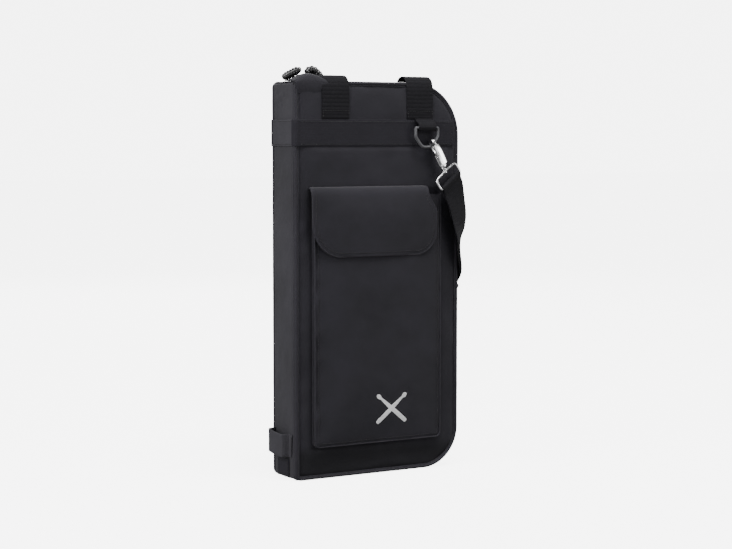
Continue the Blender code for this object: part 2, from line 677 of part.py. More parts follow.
def strap_adjuster(skins, carrier):
    """A flat three-bar slide: a frame with a middle bar."""
    out = Vector((1, 0, 0))
    across = ADJUSTER_ALONG.cross(out)
    half_w, bar = 22.5, 2.6
    half_l = SLIDE_HALF_LENGTH - bar

    def slab(name, cells, thickness):
        face = [ADJUSTER + across * a + ADJUSTER_ALONG * b for a, b in cells]
        rings = [[point + out * side * thickness / 2 for point in face] for side in (-1, 1)]
        return skin_rings(name, rings, skins["black_plastic"], carrier)

    def cell(low_a, high_a, low_b, high_b):
        return [(low_a, low_b), (high_a, low_b), (high_a, high_b), (low_a, high_b)]

    def bar_at(middle):
        return cell(-half_w, half_w, middle - bar, middle + bar)

    def side_at(a):
        end = half_l + bar / 2
        return cell(a - bar, a + bar, -end, end)

    made = slab("strap_adjuster", side_at(-half_w), 3.2)
    helpers = [slab("adjuster_side_helper", side_at(half_w), 3.2)]
    for i, middle in enumerate((-half_l, 0.0, half_l)):
        helpers.append(slab(f"adjuster_bar_helper_{i}", bar_at(middle), 2.6))
    union(made, helpers)


def shoulder_strap(start, end, end_away, skins, cover_carrier, back_carrier):
    """The webbing, in three lengths: the end at the upper ring, the middle and the doubled lower part."""
    clear = RING_WIRE + 2 * GAP
    slide_reach = SLIDE_HALF_LENGTH + 5 * GAP
    slide_width = Vector((1, 0, 0)).cross(ADJUSTER_ALONG)
    slide_width *= math.copysign(1, slide_width.z)
    ring_width = LOWER_SLOPE.cross(OUTWARD_BACK)

    route = [(start + UPPER_AWAY * reach, UPPER_BAR) for reach in (clear, 7, 13)] + UPPER_ROUTE
    route.append((ADJUSTER - ADJUSTER_ALONG * slide_reach, slide_width))
    steps = 3
    rings, thick_rings = strap_rings(route, 2.0, steps), strap_rings(route, 2.6, steps)
    cut = 4 * steps
    step_on = (rings[cut + 1][0] - rings[cut][0]).normalized() * 2 * GAP
    webbing = skins["webbing"]
    skin_rings("strap_end_loop", thick_rings[: cut + 1], webbing, cover_carrier)
    upper_rings = [[point + step_on for point in rings[cut]], *rings[cut + 1 :]]
    skin_rings("strap_upper", upper_rings, webbing, cover_carrier)

    route = [(ADJUSTER + ADJUSTER_ALONG * slide_reach, slide_width), *LOWER_ROUTE]
    route += [(end + end_away * reach, ring_width) for reach in (24, clear)]
    skin_rings("strap_lower", strap_rings(route, 2.8, steps), webbing, back_carrier)


def main():
    for leftover in list(bpy.data.objects):
        bpy.data.objects.remove(leftover, do_unlink=True)
    skins = all_materials()

    back = joint_empty("back_shell_frame", (0, 0, 0))
    spine_line = joint_empty("spine_hinge_axis", (SPINE_X, FACE_Y, 0), back)
    cover_line = joint_empty("cover_hinge_axis", (SPINE_X, -FACE_Y, 0), spine_line)
    half_shell("back", 1, skins, back)
    spine(skins, spine_line)
    half_shell("front", -1, skins, cover_line)
    hanging_loops(skins, cover_line)

    root_y, front_y = front_pocket(skins, cover_line)
    flap_line = joint_empty("pocket_flap_axis", (0, root_y, FLAP_HIGH), cover_line)
    pocket_flap(root_y, front_y, skins, flap_line)
    crossed_sticks_print(front_y, skins, cover_line)
    zip_end_cover(skins, cover_line)

    for side in ("left", "right"):
        slider = joint_empty(f"{side}_slider_axis", (SLIDER_X[side], 0, HEIGHT), back)
        pull = joint_empty(f"{side}_pull_axis", (SLIDER_X[side] + 1.5, 0, HEIGHT + 2.7), slider)
        zip_slider(side, skins, slider, pull)

    ring_line = joint_empty("upper_d_ring_axis", D_BAR, cover_line)
    hook_line = joint_empty("upper_hook_axis", UPPER_EYE, ring_line)
    gate_place = UPPER_EYE + UPPER_STEM * GATE_DOWN + Vector((0, -GATE_OUT, 0))
    gate_line = joint_empty("upper_gate_axis", gate_place, hook_line)
    out = (Vector((0, -1, 0)) + UPPER_STEM * UPPER_STEM.y).normalized()
    route = [(D_BAR.y + y, D_BAR.z + z) for y, z in TAB_ROUTE]
    yz_ribbon("upper_d_ring_tab", D_BAR.x, NARROW_WEB, 1.2, route, skins["webbing"], cover_line)
    d_ring("upper_d_ring", D_BAR, Vector((0, 0, -1)), Vector((1, 0, 0)), skins, ring_line)
    snap_hook("upper", UPPER_EYE, UPPER_STEM, out, skins, hook_line, gate_line)
    start, _ = strap_ring("upper", UPPER_EYE, UPPER_STEM, UPPER_BAR, skins, ring_line)

    side_way = LOWER_SLOPE.cross(OUTWARD_BACK)
    sloping_tab("lower_d_ring_tab", LOWER_BAR, -LOWER_SLOPE, side_way, OUTWARD_BACK, skins, back)
    d_ring("lower_d_ring", LOWER_BAR, LOWER_SLOPE, side_way, skins, back)
    lower_eye = LOWER_BAR + LOWER_SLOPE * D_DROP
    gate_place = lower_eye + LOWER_SLOPE * GATE_DOWN + OUTWARD_BACK * GATE_OUT
    lower_gate = joint_empty("lower_gate_axis", gate_place, back)
    snap_hook("lower", lower_eye, LOWER_SLOPE, OUTWARD_BACK, skins, back, lower_gate)
    end, end_away = strap_ring("lower", lower_eye, LOWER_SLOPE, side_way, skins, back)

    shoulder_strap(start, end, end_away, skins, cover_line, back)
    strap_adjuster(skins, spine_line)


main()
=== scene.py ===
"""Looks of the drum stick bag: its fabrics, webbing, zips and metal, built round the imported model.

Points are in millimetres in the closed bag's own coordinates, as in the model: x runs from the spine to the
zipped edge, y from the front to the back and z up. world() turns them into the frame's metres.
"""

import math
from functools import cached_property

import bpy
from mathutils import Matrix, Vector, noise
from mathutils.bvhtree import BVHTree

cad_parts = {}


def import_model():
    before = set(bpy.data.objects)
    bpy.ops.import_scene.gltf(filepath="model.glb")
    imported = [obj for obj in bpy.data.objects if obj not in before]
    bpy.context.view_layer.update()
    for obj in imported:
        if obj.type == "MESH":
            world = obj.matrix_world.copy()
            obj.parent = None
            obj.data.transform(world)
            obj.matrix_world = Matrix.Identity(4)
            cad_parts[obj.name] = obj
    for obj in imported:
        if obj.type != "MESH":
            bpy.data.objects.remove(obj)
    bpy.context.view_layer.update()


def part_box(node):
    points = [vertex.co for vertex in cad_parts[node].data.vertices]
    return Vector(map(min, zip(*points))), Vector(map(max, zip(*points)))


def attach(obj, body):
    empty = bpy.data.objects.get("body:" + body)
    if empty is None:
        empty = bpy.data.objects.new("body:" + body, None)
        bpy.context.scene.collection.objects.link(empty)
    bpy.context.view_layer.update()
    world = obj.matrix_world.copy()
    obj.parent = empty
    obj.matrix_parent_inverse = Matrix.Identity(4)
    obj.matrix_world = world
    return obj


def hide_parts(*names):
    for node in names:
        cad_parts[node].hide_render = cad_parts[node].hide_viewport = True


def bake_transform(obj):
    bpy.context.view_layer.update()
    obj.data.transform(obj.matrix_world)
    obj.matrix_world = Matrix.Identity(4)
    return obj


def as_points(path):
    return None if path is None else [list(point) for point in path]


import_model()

MM = 0.001
FREE_X, HEIGHT = 116.0, 480.0
SPINE_X = -FREE_X
TOP_CORNER, BOTTOM_CORNER, SPINE_CORNER = 65.0, 50.0, 8.0
# The closed bag's middle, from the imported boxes: the gusset ends at FREE_X, and the band stands BAND_OUT out.
BAND_OUT = 31.0
MIDDLE = Vector((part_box("front_gusset")[1][0] / MM - FREE_X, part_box("front_band")[0][1] / MM + BAND_OUT, 0.0))
SIDES = {"front": -1, "back": 1}
ACROSS, BACKWARD, UP = Vector((1, 0, 0)), Vector((0, 1, 0)), Vector((0, 0, 1))


def world(point):
    return (Vector(point) + MIDDLE) * MM


# ---------------------------------------------------------------- camera, floor and light


def add_camera():
    data = bpy.data.cameras.new("camera")
    data.lens, data.sensor_width = 89.33, 36.0
    camera = bpy.data.objects.new("camera", data)
    camera.location = world((-1134.8, -1932.6, 415.5))
    camera.rotation_euler = (math.radians(85.609), 0.0, math.radians(-30.405))
    bpy.context.scene.collection.objects.link(camera)
    bpy.context.scene.camera = camera


def area_light(name, place, aim, size, power, lights_cloth=True):
    data = bpy.data.lights.new(name, "AREA")
    data.shape, data.size, data.size_y, data.energy = "RECTANGLE", size[0], size[1], power
    light = bpy.data.objects.new(name, data)
    light.location = place
    light.rotation_euler = (Vector(aim) - Vector(place)).to_track_quat("-Z", "Y").to_euler()
    light.visible_diffuse = lights_cloth
    bpy.context.scene.collection.objects.link(light)


def add_studio():
    half, below = 14.0, -0.0004
    mesh = bpy.data.meshes.new("floor")
    corners = [(-half, -half), (half, -half), (half, half), (-half, half)]
    mesh.from_pydata([(x, y, below) for x, y in corners], [], [(0, 1, 2, 3)])
    white = (1.0, 1.0, 1.0, 1.0)
    paper = Shader("pale_floor", (0.93, 0.93, 0.93), 0.9, Specular_IOR_Level=0.0,
                   Emission_Color=white, Emission_Strength=5.5)
    mesh.materials.append(paper.material)
    floor = bpy.data.objects.new("floor", mesh)
    floor.visible_diffuse = floor.visible_glossy = False
    bpy.context.scene.collection.objects.link(floor)
    sky = bpy.data.worlds.new("studio")
    sky.use_nodes = True
    tree = sky.node_tree
    chosen = tree.nodes.new("ShaderNodeMixShader")
    soft, backdrop = tree.nodes["Background"], tree.nodes.new("ShaderNodeBackground")
    for background, strength, socket in ((soft, 0.36, 1), (backdrop, 6.0, 2)):
        background.inputs["Color"].default_value = white
        background.inputs["Strength"].default_value = strength
        tree.links.new(background.outputs["Background"], chosen.inputs[socket])
    tree.links.new(tree.nodes.new("ShaderNodeLightPath").outputs["Is Camera Ray"], chosen.inputs["Fac"])
    tree.links.new(chosen.outputs["Shader"], tree.nodes["World Output"].inputs["Surface"])
    bpy.context.scene.world = sky
    heart = (0, 0, 0.25)
    area_light("key", (-2.6, -0.5, 1.2), heart, (1.2, 1.8), 66.0)
    area_light("fill", (0.9, -2.7, 1.6), heart, (1.6, 1.6), 14.0)
    area_light("top", (0.1, -0.7, 2.3), heart, (0.9, 0.9), 40.0)
    area_light("back", (0.9, 2.5, 1.5), heart, (1.6, 1.6), 26.0)
    area_light("metal_card", (1.0, -1.35, 0.62), (0.07, -0.04, 0.39), (0.7, 0.7), 9.0, lights_cloth=False)


# ---------------------------------------------------------------- materials


class Shader:
    """A Principled material that is wired up by calls."""

    def __init__(self, name, color, roughness, metallic=0.0, **constants):
        self.material = bpy.data.materials.new(name)
        self.material.use_nodes = True
        self.tree = self.material.node_tree
        self.surface = self.tree.nodes["Principled BSDF"]
        self.surface.inputs["Base Color"].default_value = (*color, 1.0)
        self.surface.inputs["Roughness"].default_value = roughness
        self.surface.inputs["Metallic"].default_value = metallic
        for socket, value in constants.items():
            self.surface.inputs[socket.replace("_", " ")].default_value = value

    @cached_property
    def place(self):
        return self.node("ShaderNodeTexCoord").outputs["Object"]

    def node(self, kind, inputs=None, **settings):
        made = self.tree.nodes.new(kind)
        for key, value in settings.items():
            setattr(made, key, value)
        for key, value in (inputs or {}).items():
            self.feed(made.inputs[key], value)
        return made

    def feed(self, socket, value):
        if isinstance(value, bpy.types.NodeSocket):
            self.tree.links.new(value, socket)
        else:
            socket.default_value = value

    def math(self, operation, first, second=0.0):
        return self.node("ShaderNodeMath", {0: first, 1: second}, operation=operation).outputs[0]

    def noise(self, scale, detail=2.0, roughness=0.5):
        inputs = {"Vector": self.place, "Scale": scale, "Detail": detail, "Roughness": roughness}
        return self.node("ShaderNodeTexNoise", inputs).outputs["Fac"]

    def ramp(self, value, low, high, out_low=0.0, out_high=1.0):
        inputs = {"Value": value, "From Min": low, "From Max": high, "To Min": out_low, "To Max": out_high}
        return self.node("ShaderNodeMapRange", inputs).outputs["Result"]

    def mix(self, amount, first, second):
        made = self.tree.nodes.new("ShaderNodeMix")
        made.data_type = "RGBA"
        for index, value in ((0, amount), (6, first), (7, second)):
            self.feed(made.inputs[index], value)
        return made.outputs[2]

    def worn(self, tone, low, high, most, paler):
        """The tone, with a paler one where the mesh has edges."""
        edges = self.ramp(self.node("ShaderNodeNewGeometry").outputs["Pointiness"], low, high)
        return self.mix(self.math("MULTIPLY", edges, most), tone, paler)

    def bump(self, height, strength, distance):
        inputs = {"Height": height, "Strength": strength, "Distance": distance}
        self.feed(self.surface.inputs["Normal"], self.node("ShaderNodeBump", inputs).outputs["Normal"])


def scaled(color, factor):
    return (*(min(1.0, channel * factor) for channel in color), 1.0)


def cloth(name, color, axes="xz", pitch=0.75, roughness=0.8, sheen=0.15, relief=0.35, wear=1.5, low=0.0):
    """Plain-woven polyester: threads over and under, uneven yarn, soft mottling and paler worn edges, and, where
    low is set, painted shade that darkens it towards the base.
    """
    shade = Shader(name, color, roughness, Sheen_Weight=sheen, Sheen_Roughness=0.45, Specular_IOR_Level=0.22)
    parts = shade.node("ShaderNodeSeparateXYZ", {0: shade.place}).outputs
    over, under = (
        shade.math("SINE", shade.math("MULTIPLY", parts["xyz".index(axis)], math.pi / (pitch * MM)))
        for axis in axes
    )
    weave = shade.math("MULTIPLY", over, under)
    yarn = shade.noise(1400.0, 1.0)
    slub = shade.noise(160.0, 3.0, 0.6)
    cloud = shade.noise(14.0, 3.0)
    height = shade.math("ADD", shade.math("MULTIPLY", weave, 0.5), shade.math("MULTIPLY", yarn, 0.7))
    shade.bump(height, relief, 0.25 * MM)
    tone = shade.mix(shade.ramp(cloud, 0.35, 0.65), scaled(color, 0.8), scaled(color, 1.25))
    thread = shade.ramp(shade.math("ADD", weave, shade.math("MULTIPLY", slub, 1.4)), -0.6, 1.8)
    tone = shade.mix(shade.math("MULTIPLY", thread, 0.35), tone, scaled(color, 1.55))
    tone = shade.worn(tone, 0.53, 0.62, 0.6, scaled(color, wear))
    # Painted shade: the cloth darkens below about 30 to 40 mm from the base.
    if low:
        foot = shade.math("ADD", parts[2], shade.math("MULTIPLY", shade.math("SUBTRACT", cloud, 0.5), 0.02))
        tone = shade.mix(shade.ramp(foot, 0.028, 0.042, low, 0.0), tone, scaled(color, 0.35))
    shade.feed(shade.surface.inputs["Base Color"], tone)
    return shade.material


def webbing_material(name, color, roughness=0.72):
    """Webbing: fine lengthwise cords and slanted picks along its own length, from its UV map in metres."""
    shade = Shader(name, color, roughness, Sheen_Weight=0.05, Sheen_Roughness=0.4, Specular_IOR_Level=0.16)
    parts = shade.node("ShaderNodeSeparateXYZ", {0: shade.node("ShaderNodeUVMap").outputs["UV"]}).outputs
    cords = shade.math("SINE", shade.math("MULTIPLY", parts[0], math.tau / 0.0019))
    slant = shade.math("ADD", parts[1], shade.math("MULTIPLY", shade.math("ABSOLUTE", cords), 0.0004))
    picks = shade.math("SINE", shade.math("MULTIPLY", slant, math.tau / 0.0012))
    height = shade.math("ADD", shade.math("MULTIPLY", cords, 0.3), shade.math("MULTIPLY", picks, 0.35))
    shade.bump(shade.math("ADD", height, shade.noise(1500.0, 1.0)), 0.4, 0.25 * MM)
    tone = shade.mix(shade.noise(30.0, 3.0), scaled(color, 0.8), scaled(color, 1.25))
    tone = shade.mix(shade.ramp(picks, -0.2, 1.6, 0.0, 0.4), tone, scaled(color, 1.7))
    shade.feed(shade.surface.inputs["Base Color"], shade.worn(tone, 0.54, 0.64, 0.5, scaled(color, 1.9)))
    return shade.material


def grained(name, color, roughness, grain, strength, metallic=0.0, spread=0.15, **constants):
    """Moulded plastic, rubber, thread or metal, with a fine grain, small scuffs and an uneven gloss."""
    shade = Shader(name, color, roughness, metallic, **constants)
    shade.bump(shade.noise(grain), strength, 0.1 * MM)
    scuffs = shade.noise(grain * 0.12, 4.0, 0.65)
    dull = shade.ramp(scuffs, 0.4, 0.7, max(0.02, roughness - spread * 0.5), min(1.0, roughness + spread))
    shade.feed(shade.surface.inputs["Roughness"], dull)
    tone = shade.mix(shade.ramp(scuffs, 0.35, 0.7), scaled(color, 0.88), scaled(color, 1.15))
    shade.feed(shade.surface.inputs["Base Color"], shade.worn(tone, 0.52, 0.6, 0.35, scaled(color, 1.35)))
    return shade.material


# FABRIC_LIT is the same black polyester painted lighter: a painted highlight for the spine, which faces the key
# light.
FABRIC, FABRIC_LIT = (0.0172, 0.0160, 0.0215), (0.0300, 0.0288, 0.0345)
LOOKS = {
    # The front cloth's low setting paints shade along its foot.
    "front_fabric": cloth("black_polyester", FABRIC, low=0.75),
    "gusset_fabric": cloth("black_polyester_edge", scaled(FABRIC, 0.9)[:3], "yz"),
    # Painted highlight: the spine's cloth uses the lighter, painted-lit copy of the fabric.
    "spine_fabric": cloth("spine_polyester_painted_lit", FABRIC_LIT, "yz"),
    "webbing": webbing_material("black_webbing", (0.0072, 0.0068, 0.0092)),
    "band": webbing_material("band_webbing", (0.0180, 0.0168, 0.0222)),
    # Painted highlight: the band's webbing painted lighter where it crosses the spine and on the spine's foot
    # loop, which face the key light.
    "spine_band": webbing_material("spine_band_webbing_painted_lit", (0.0440, 0.0425, 0.0495)),
    "lining": cloth("nylon_lining", (0.030, 0.030, 0.034), "xz", 0.45, 0.6, 0.05, 0.2, 1.2),
    "board": grained("foam_board", (0.10, 0.10, 0.10), 0.9, 500.0, 0.4),
    "piping": cloth("piping_fabric", scaled(FABRIC, 1.05)[:3], "yz", 0.75, 0.6, 0.1, 0.3, 1.8),
    "zip_tape": cloth("zip_tape_weave", (0.012, 0.012, 0.0135), "yz", 1.1, 0.8, 0.1, 0.4, 1.2),
    "zip_teeth": grained("zip_coil", (0.010, 0.010, 0.011), 0.35, 900.0, 0.1),
    "slider_metal": grained("black_plated", (0.05, 0.05, 0.055), 0.3, 700.0, 0.15, 0.9),
    "pull_rubber": grained("gloss_rubber", (0.010, 0.010, 0.011), 0.22, 600.0, 0.1, Coat_Weight=0.4),
    "black_plastic": grained("grey_plastic", (0.075, 0.075, 0.082), 0.42, 700.0, 0.25),
    "nickel": grained("polished_nickel", (0.78, 0.78, 0.79), 0.16, 900.0, 0.06, 1.0, 0.12),
    "print": grained("screen_print", (0.82, 0.82, 0.83), 0.6, 1800.0, 0.5),
    "hook_tape": cloth("hook_and_loop", (0.016, 0.016, 0.017), "xz", 1.3, 0.95, 0.3, 1.0, 1.2),
    "thread": grained("black_thread", (0.012, 0.012, 0.013), 0.55, 1500.0, 0.4),
}


# ---------------------------------------------------------------- mesh tools


def piece(name, vertices, faces, look, slot=None, body=None, replaces=(), uvs=None, sharp=40.0):
    """One visible piece. vertices are closed-bag millimetres, and uvs one (u, v) in metres per vertex."""
    mesh = bpy.data.meshes.new(name)
    mesh.from_pydata([world(point) for point in vertices], [], faces)
    if uvs:
        layer = mesh.uv_layers.new(name="UVMap")
        for loop in mesh.loops:
            layer.data[loop.index].uv = uvs[loop.vertex_index]
    mesh.materials.append(LOOKS[look])
    mesh.validate()
    mesh.shade_smooth()
    mesh.set_sharp_from_angle(angle=math.radians(sharp))
    made = bpy.data.objects.new(name, mesh)
    bpy.context.scene.collection.objects.link(made)
    if body:
        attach(made, body)
    if replaces:
        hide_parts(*replaces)
    return made


def skin(rings, closed=False, caps=True):
    """(vertices, faces) through rings of points that all have the same count."""
    size, count = len(rings[0]), len(rings)
    vertices = [point for ring in rings for point in ring]
    faces = []
    for i in range(count if closed else count - 1):
        a, b = i * size, (i + 1) % count * size
        for j in range(size):
            k = (j + 1) % size
            faces.append((a + j, a + k, b + k, b + j))
    if caps and not closed:
        faces.append(tuple(reversed(range(size))))
        faces.append(tuple(range((count - 1) * size, count * size)))
    return vertices, faces


def outward(vertices, faces):
    """The faces, turned round if the closed shape is inside out."""
    volume = 0.0
    for face in faces:
        first = Vector(vertices[face[0]])
        for j in range(1, len(face) - 1):
            volume += first.dot(Vector(vertices[face[j]]).cross(Vector(vertices[face[j + 1]])))
    return faces if volume > 0 else [tuple(reversed(face)) for face in faces]


def skinned(name, rings, look, closed=False, **rest):
    """One piece whose surface runs through rings of points."""
    vertices, faces = skin(rings, closed)
    return piece(name, vertices, outward(vertices, faces), look, **rest)


def add_solid(vertices, faces, rings):
    """Adds one small closed solid to a mesh's lists."""
    made, shape = skin(rings)
    base = len(vertices)
    vertices += made
    faces += [tuple(base + v for v in face) for face in outward(made, shape)]


def pad_faces(rows, columns):
    """(faces, rim) of a pad: two grids of points, one listed after the other, joined round their rim."""
    faces, size = [], rows * columns
    for i in range(rows - 1):
        for j in range(columns - 1):
            a = i * columns + j
            quad = (a, a + 1, a + columns + 1, a + columns)
            faces += [quad, tuple(size + k for k in reversed(quad))]
    rim = list(range(columns)) + [i * columns + columns - 1 for i in range(1, rows)]
    rim += [(rows - 1) * columns + j for j in reversed(range(columns - 1))]
    rim += [i * columns for i in reversed(range(1, rows - 1))]
    return faces + [(b, a, size + a, size + b) for a, b in zip(rim, rim[1:] + rim[:1])], rim


def along(points):
    """The distance at each point along a route."""
    total, found = 0.0, [0.0]
    for a, b in zip(points, points[1:]):
        total += (Vector(b) - Vector(a)).length
        found.append(total)
    return found


def span_at(marks, s, k=0):
    """(index, share) of the span that holds a distance, looking on from the k-th span."""
    while k < len(marks) - 2 and marks[k + 1] < s:
        k += 1
    return k, (s - marks[k]) / max(1e-9, marks[k + 1] - marks[k])


def curve_points(ends, steps):
    """Points on a Catmull-Rom curve through all but the first and last of its values."""
    found = []
    for i in range(1, len(ends) - 2):
        a, b, c, d = ends[i - 1 : i + 3]
        for j in range(steps):
            t = j / steps
            found.append(0.5 * (2 * b + (c - a) * t + (2 * a - 5 * b + 4 * c - d) * t * t
                                + (3 * b - a - 3 * c + d) * t**3))
    return found


def resampled(points, step, closed=False):
    """Points at even distances along a route, through a smooth curve."""
    points = [Vector(p) for p in points]
    ends = [points[-1], *points, points[0], points[1]] if closed else [
        2 * points[0] - points[1], *points, 2 * points[-1] - points[-2]]
    return evenly(curve_points(ends, 12) + [points[0] if closed else points[-1]], step)


def evenly(points, step):
    """Points at even distances along straight runs."""
    points = [Vector(p) for p in points]
    marks = along(points)
    count = max(2, round(marks[-1] / step))
    found, k = [], 0
    for i in range(count + 1):
        k, t = span_at(marks, marks[-1] * i / count, k)
        found.append(points[k].lerp(points[k + 1], t))
    return found


def sweep(name, route, hints, section, look, closed=False, **rest):
    """A cross-section carried along a route. section(i, s) gives (across, up) points at point i."""
    points = [Vector(p) for p in route]
    marks, count = along(points), len(points)
    rings, uvs = [], []
    for i, point in enumerate(points):
        before = points[i - 1] if closed else points[max(i - 1, 0)]
        after = points[(i + 1) % count] if closed else points[min(i + 1, count - 1)]
        heading = (after - before).normalized()
        across = hints[i] - hints[i].dot(heading) * heading
        across.normalize()
        up = heading.cross(across)
        cells = section(i, marks[i])
        rings.append([point + across * a + up * b for a, b in cells])
        uvs += [(a * MM, marks[i] * MM) for a, b in cells]
    return skinned(name, rings, look, closed, uvs=uvs, **rest)


def flat_section(width, thickness, cells):
    """A flat strip's outline with round edges: (across, up) points, the top side first."""
    half, edge = width / 2, thickness / 2
    top = [(-half + edge + (width - 2 * edge) * i / cells, edge) for i in range(cells + 1)]
    right = [(half - edge + edge * math.sin(a), edge * math.cos(a))
             for a in (math.pi / 4, math.pi / 2, math.pi * 0.75)]
    return top + right + [(-a, -b) for a, b in top] + [(-a, -b) for a, b in right]


def webbing(name, route, hints, width, thickness, look="webbing", rib=4.8, depth=0.3, **rest):
    """Webbing: a strip with ribs across it, whose edges are serrated by the same ribs."""
    fine = evenly(route, 0.8)
    spans = along([Vector(p) for p in route])
    turned, k = [], 0
    for s in along(fine):
        k, t = span_at(spans, s, k)
        turned.append(Vector(hints[k]).lerp(Vector(hints[k + 1]), min(1.0, max(0.0, t))).normalized())
    base = flat_section(width, thickness, 14)

    def section(i, s):
        groove = 0.5 + 0.5 * math.cos(math.tau * s / rib)
        fine_rib = 0.5 + 0.5 * math.cos(math.tau * s / (rib / 2) + 0.8)
        sunk = depth * groove**3 + depth * 0.35 * fine_rib**2
        found = []
        for a, b in base:
            cord = 0.05 * math.cos(math.tau * a / (width / 9.0))
            pull = 1 - (sunk - cord) / (thickness / 2)
            found.append((a * (1 - 0.35 * sunk / (width / 2)), b * pull))
        return found

    return sweep(name, fine, turned, section, look, **rest)


def rod(name, route, radii, look, sides=16, closed=False, squash=(1.0, 1.0), **rest):
    """A round bar along a route, its section squashed by factors (across, up)."""
    points = [Vector(p) for p in route]
    count = len(points)
    normal = Vector((0, 0, 0))
    for i in range(1, count - 1):
        normal += (points[i] - points[i - 1]).cross(points[i + 1] - points[i])
    if normal.length < 1e-6:
        normal = (points[-1] - points[0]).orthogonal()
    hints = [normal.normalized()] * count
    radii = radii if isinstance(radii, (list, tuple)) else [radii] * count
    wide, high = squash

    def section(i, s):
        turns = [math.tau * (j + 0.5) / sides for j in range(sides)]
        return [(radii[i] * wide * math.cos(a), radii[i] * high * math.sin(a)) for a in turns]

    return sweep(name, points, hints, section, look, closed, **rest)


def merge(name, parts, body=None, replaces=()):
    """Joins pieces that move together into one object under a new name."""
    first = parts[0]
    with bpy.context.temp_override(active_object=first, selected_editable_objects=parts, object=first):
        bpy.ops.object.join()
    first.name = name
    first.data.name = name
    if body:
        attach(first, body)
    if replaces:
        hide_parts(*replaces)
    return first


def arc(middle, radius, start, stop, steps):
    """(x, z, outward x, outward z) along an arc, from the start angle to the stop angle in degrees."""
    found = []
    for i in range(steps + 1):
        angle = math.radians(start + (stop - start) * i / steps)
        out_x, out_z = math.cos(angle), math.sin(angle)
        found.append((middle[0] + radius * out_x, middle[1] + radius * out_z, out_x, out_z))
    return found


def spread_route(route, step):
    """The rim route with points added on its straight runs."""
    found = []
    for (ax, az, anx, anz), (bx, bz, bnx, bnz) in zip(route, route[1:]):
        count = max(1, round(math.hypot(bx - ax, bz - az) / step))
        for i in range(count):
            t = i / count
            out = Vector((anx + (bnx - anx) * t, anz + (bnz - anz) * t)).normalized()
            found.append((ax + (bx - ax) * t, az + (bz - az) * t, out.x, out.y))
    return found + [route[-1]]


def free_corners():
    """The two round corners of the zipped edge, from the base to the top."""
    return (arc((FREE_X - BOTTOM_CORNER, BOTTOM_CORNER), BOTTOM_CORNER, -90, 0, 26)
            + arc((FREE_X - TOP_CORNER, HEIGHT - TOP_CORNER), TOP_CORNER, 0, 90, 34))


def zip_route(start_x, step=3.0):
    """The zipped edge, from the spine along the base, up the free side and back along the top."""
    return spread_route([(start_x, 0.0, 0.0, -1.0), *free_corners(), (start_x, HEIGHT, 0.0, 1.0)], step)


def rim_route(step=3.0):
    """The whole rim of one shell, with its two tight corners at the spine."""
    corner = SPINE_CORNER
    route = free_corners() + arc((SPINE_X + corner, HEIGHT - corner), corner, 90, 180, 6)
    route += arc((SPINE_X + corner, corner), corner, 180, 270, 6)
    return spread_route(route + [route[0]], step)[:-1]


def rounded_rows(left, right, low, high, corners, columns, rows):
    """Rows of (x, z) points in a rectangle with round corners: low left, low right, high left, high right."""
    low_left, low_right, high_left, high_right = corners

    def inset(z, low_r, high_r):
        for r, d in ((low_r, z - low), (high_r, high - z)):
            if d < r:
                return r - math.sqrt(max(0.0, r * r - (r - d) ** 2))
        return 0.0

    reach_low, reach_high = max(low_left, low_right), max(high_left, high_right)
    turns = [math.pi / 2 * i / 12 for i in range(13)]
    middle = max(2, rows - 26)
    span = high - reach_high - (low + reach_low)
    marks = [low + reach_low * (1 - math.cos(turn)) for turn in turns]
    marks += [low + reach_low + span * i / middle for i in range(1, middle)]
    marks += [high - reach_high * (1 - math.sin(turn)) for turn in turns]
    grid = []
    for mark in marks:
        z = low + 0.02 if mark <= low else high - 0.02 if mark >= high else mark
        a, b = left + inset(z, low_left, high_left), right - inset(z, low_right, high_right)
        grid.append([(a + (b - a) * i / columns, z) for i in range(columns + 1)])
    return grid


def wrinkle(x, z, scale, seed):
    """Smooth noise over a panel, from -1 to 1."""
    return noise.noise(Vector((x / scale, z / scale, seed)))


def edge_gap(x, z, left, right, low, high, corners):
    """How far a point of a rounded rectangle is from its edge."""
    low_left, low_right, high_left, high_right = corners
    for cx, cz, r, sx, sz in (
        (left, low, low_left, 1, 1), (right, low, low_right, -1, 1),
        (left, high, high_left, 1, -1), (right, high, high_right, -1, -1),
    ):
        px, pz = (x - cx) * sx, (z - cz) * sz
        if px < r and pz < r:
            return r - math.hypot(r - px, r - pz)
    return min(x - left, right - x, z - low, high - z)


def cushion(name, grid, front, back, look, sim=None, place=lambda x, y, z: Vector((x, y, z)), **rest):
    """A closed pad from a grid of (x, z) points. front(x, z) and back(x, z) give its two faces' y."""
    vertices = [place(x, front(x, z), z) for row in grid for x, z in row]
    size = len(vertices)
    vertices += [place(x, back(x, z), z) for row in grid for x, z in row]
    faces, rim = pad_faces(len(grid), len(grid[0]))
    uvs = [(p.x * MM, p.z * MM) for p in vertices]
    made = piece(name, vertices, outward(vertices, faces), look, uvs=uvs, **rest)
    if sim:
        inflate(made, set(rim) | set(range(size, 2 * size)), **sim)
    return made


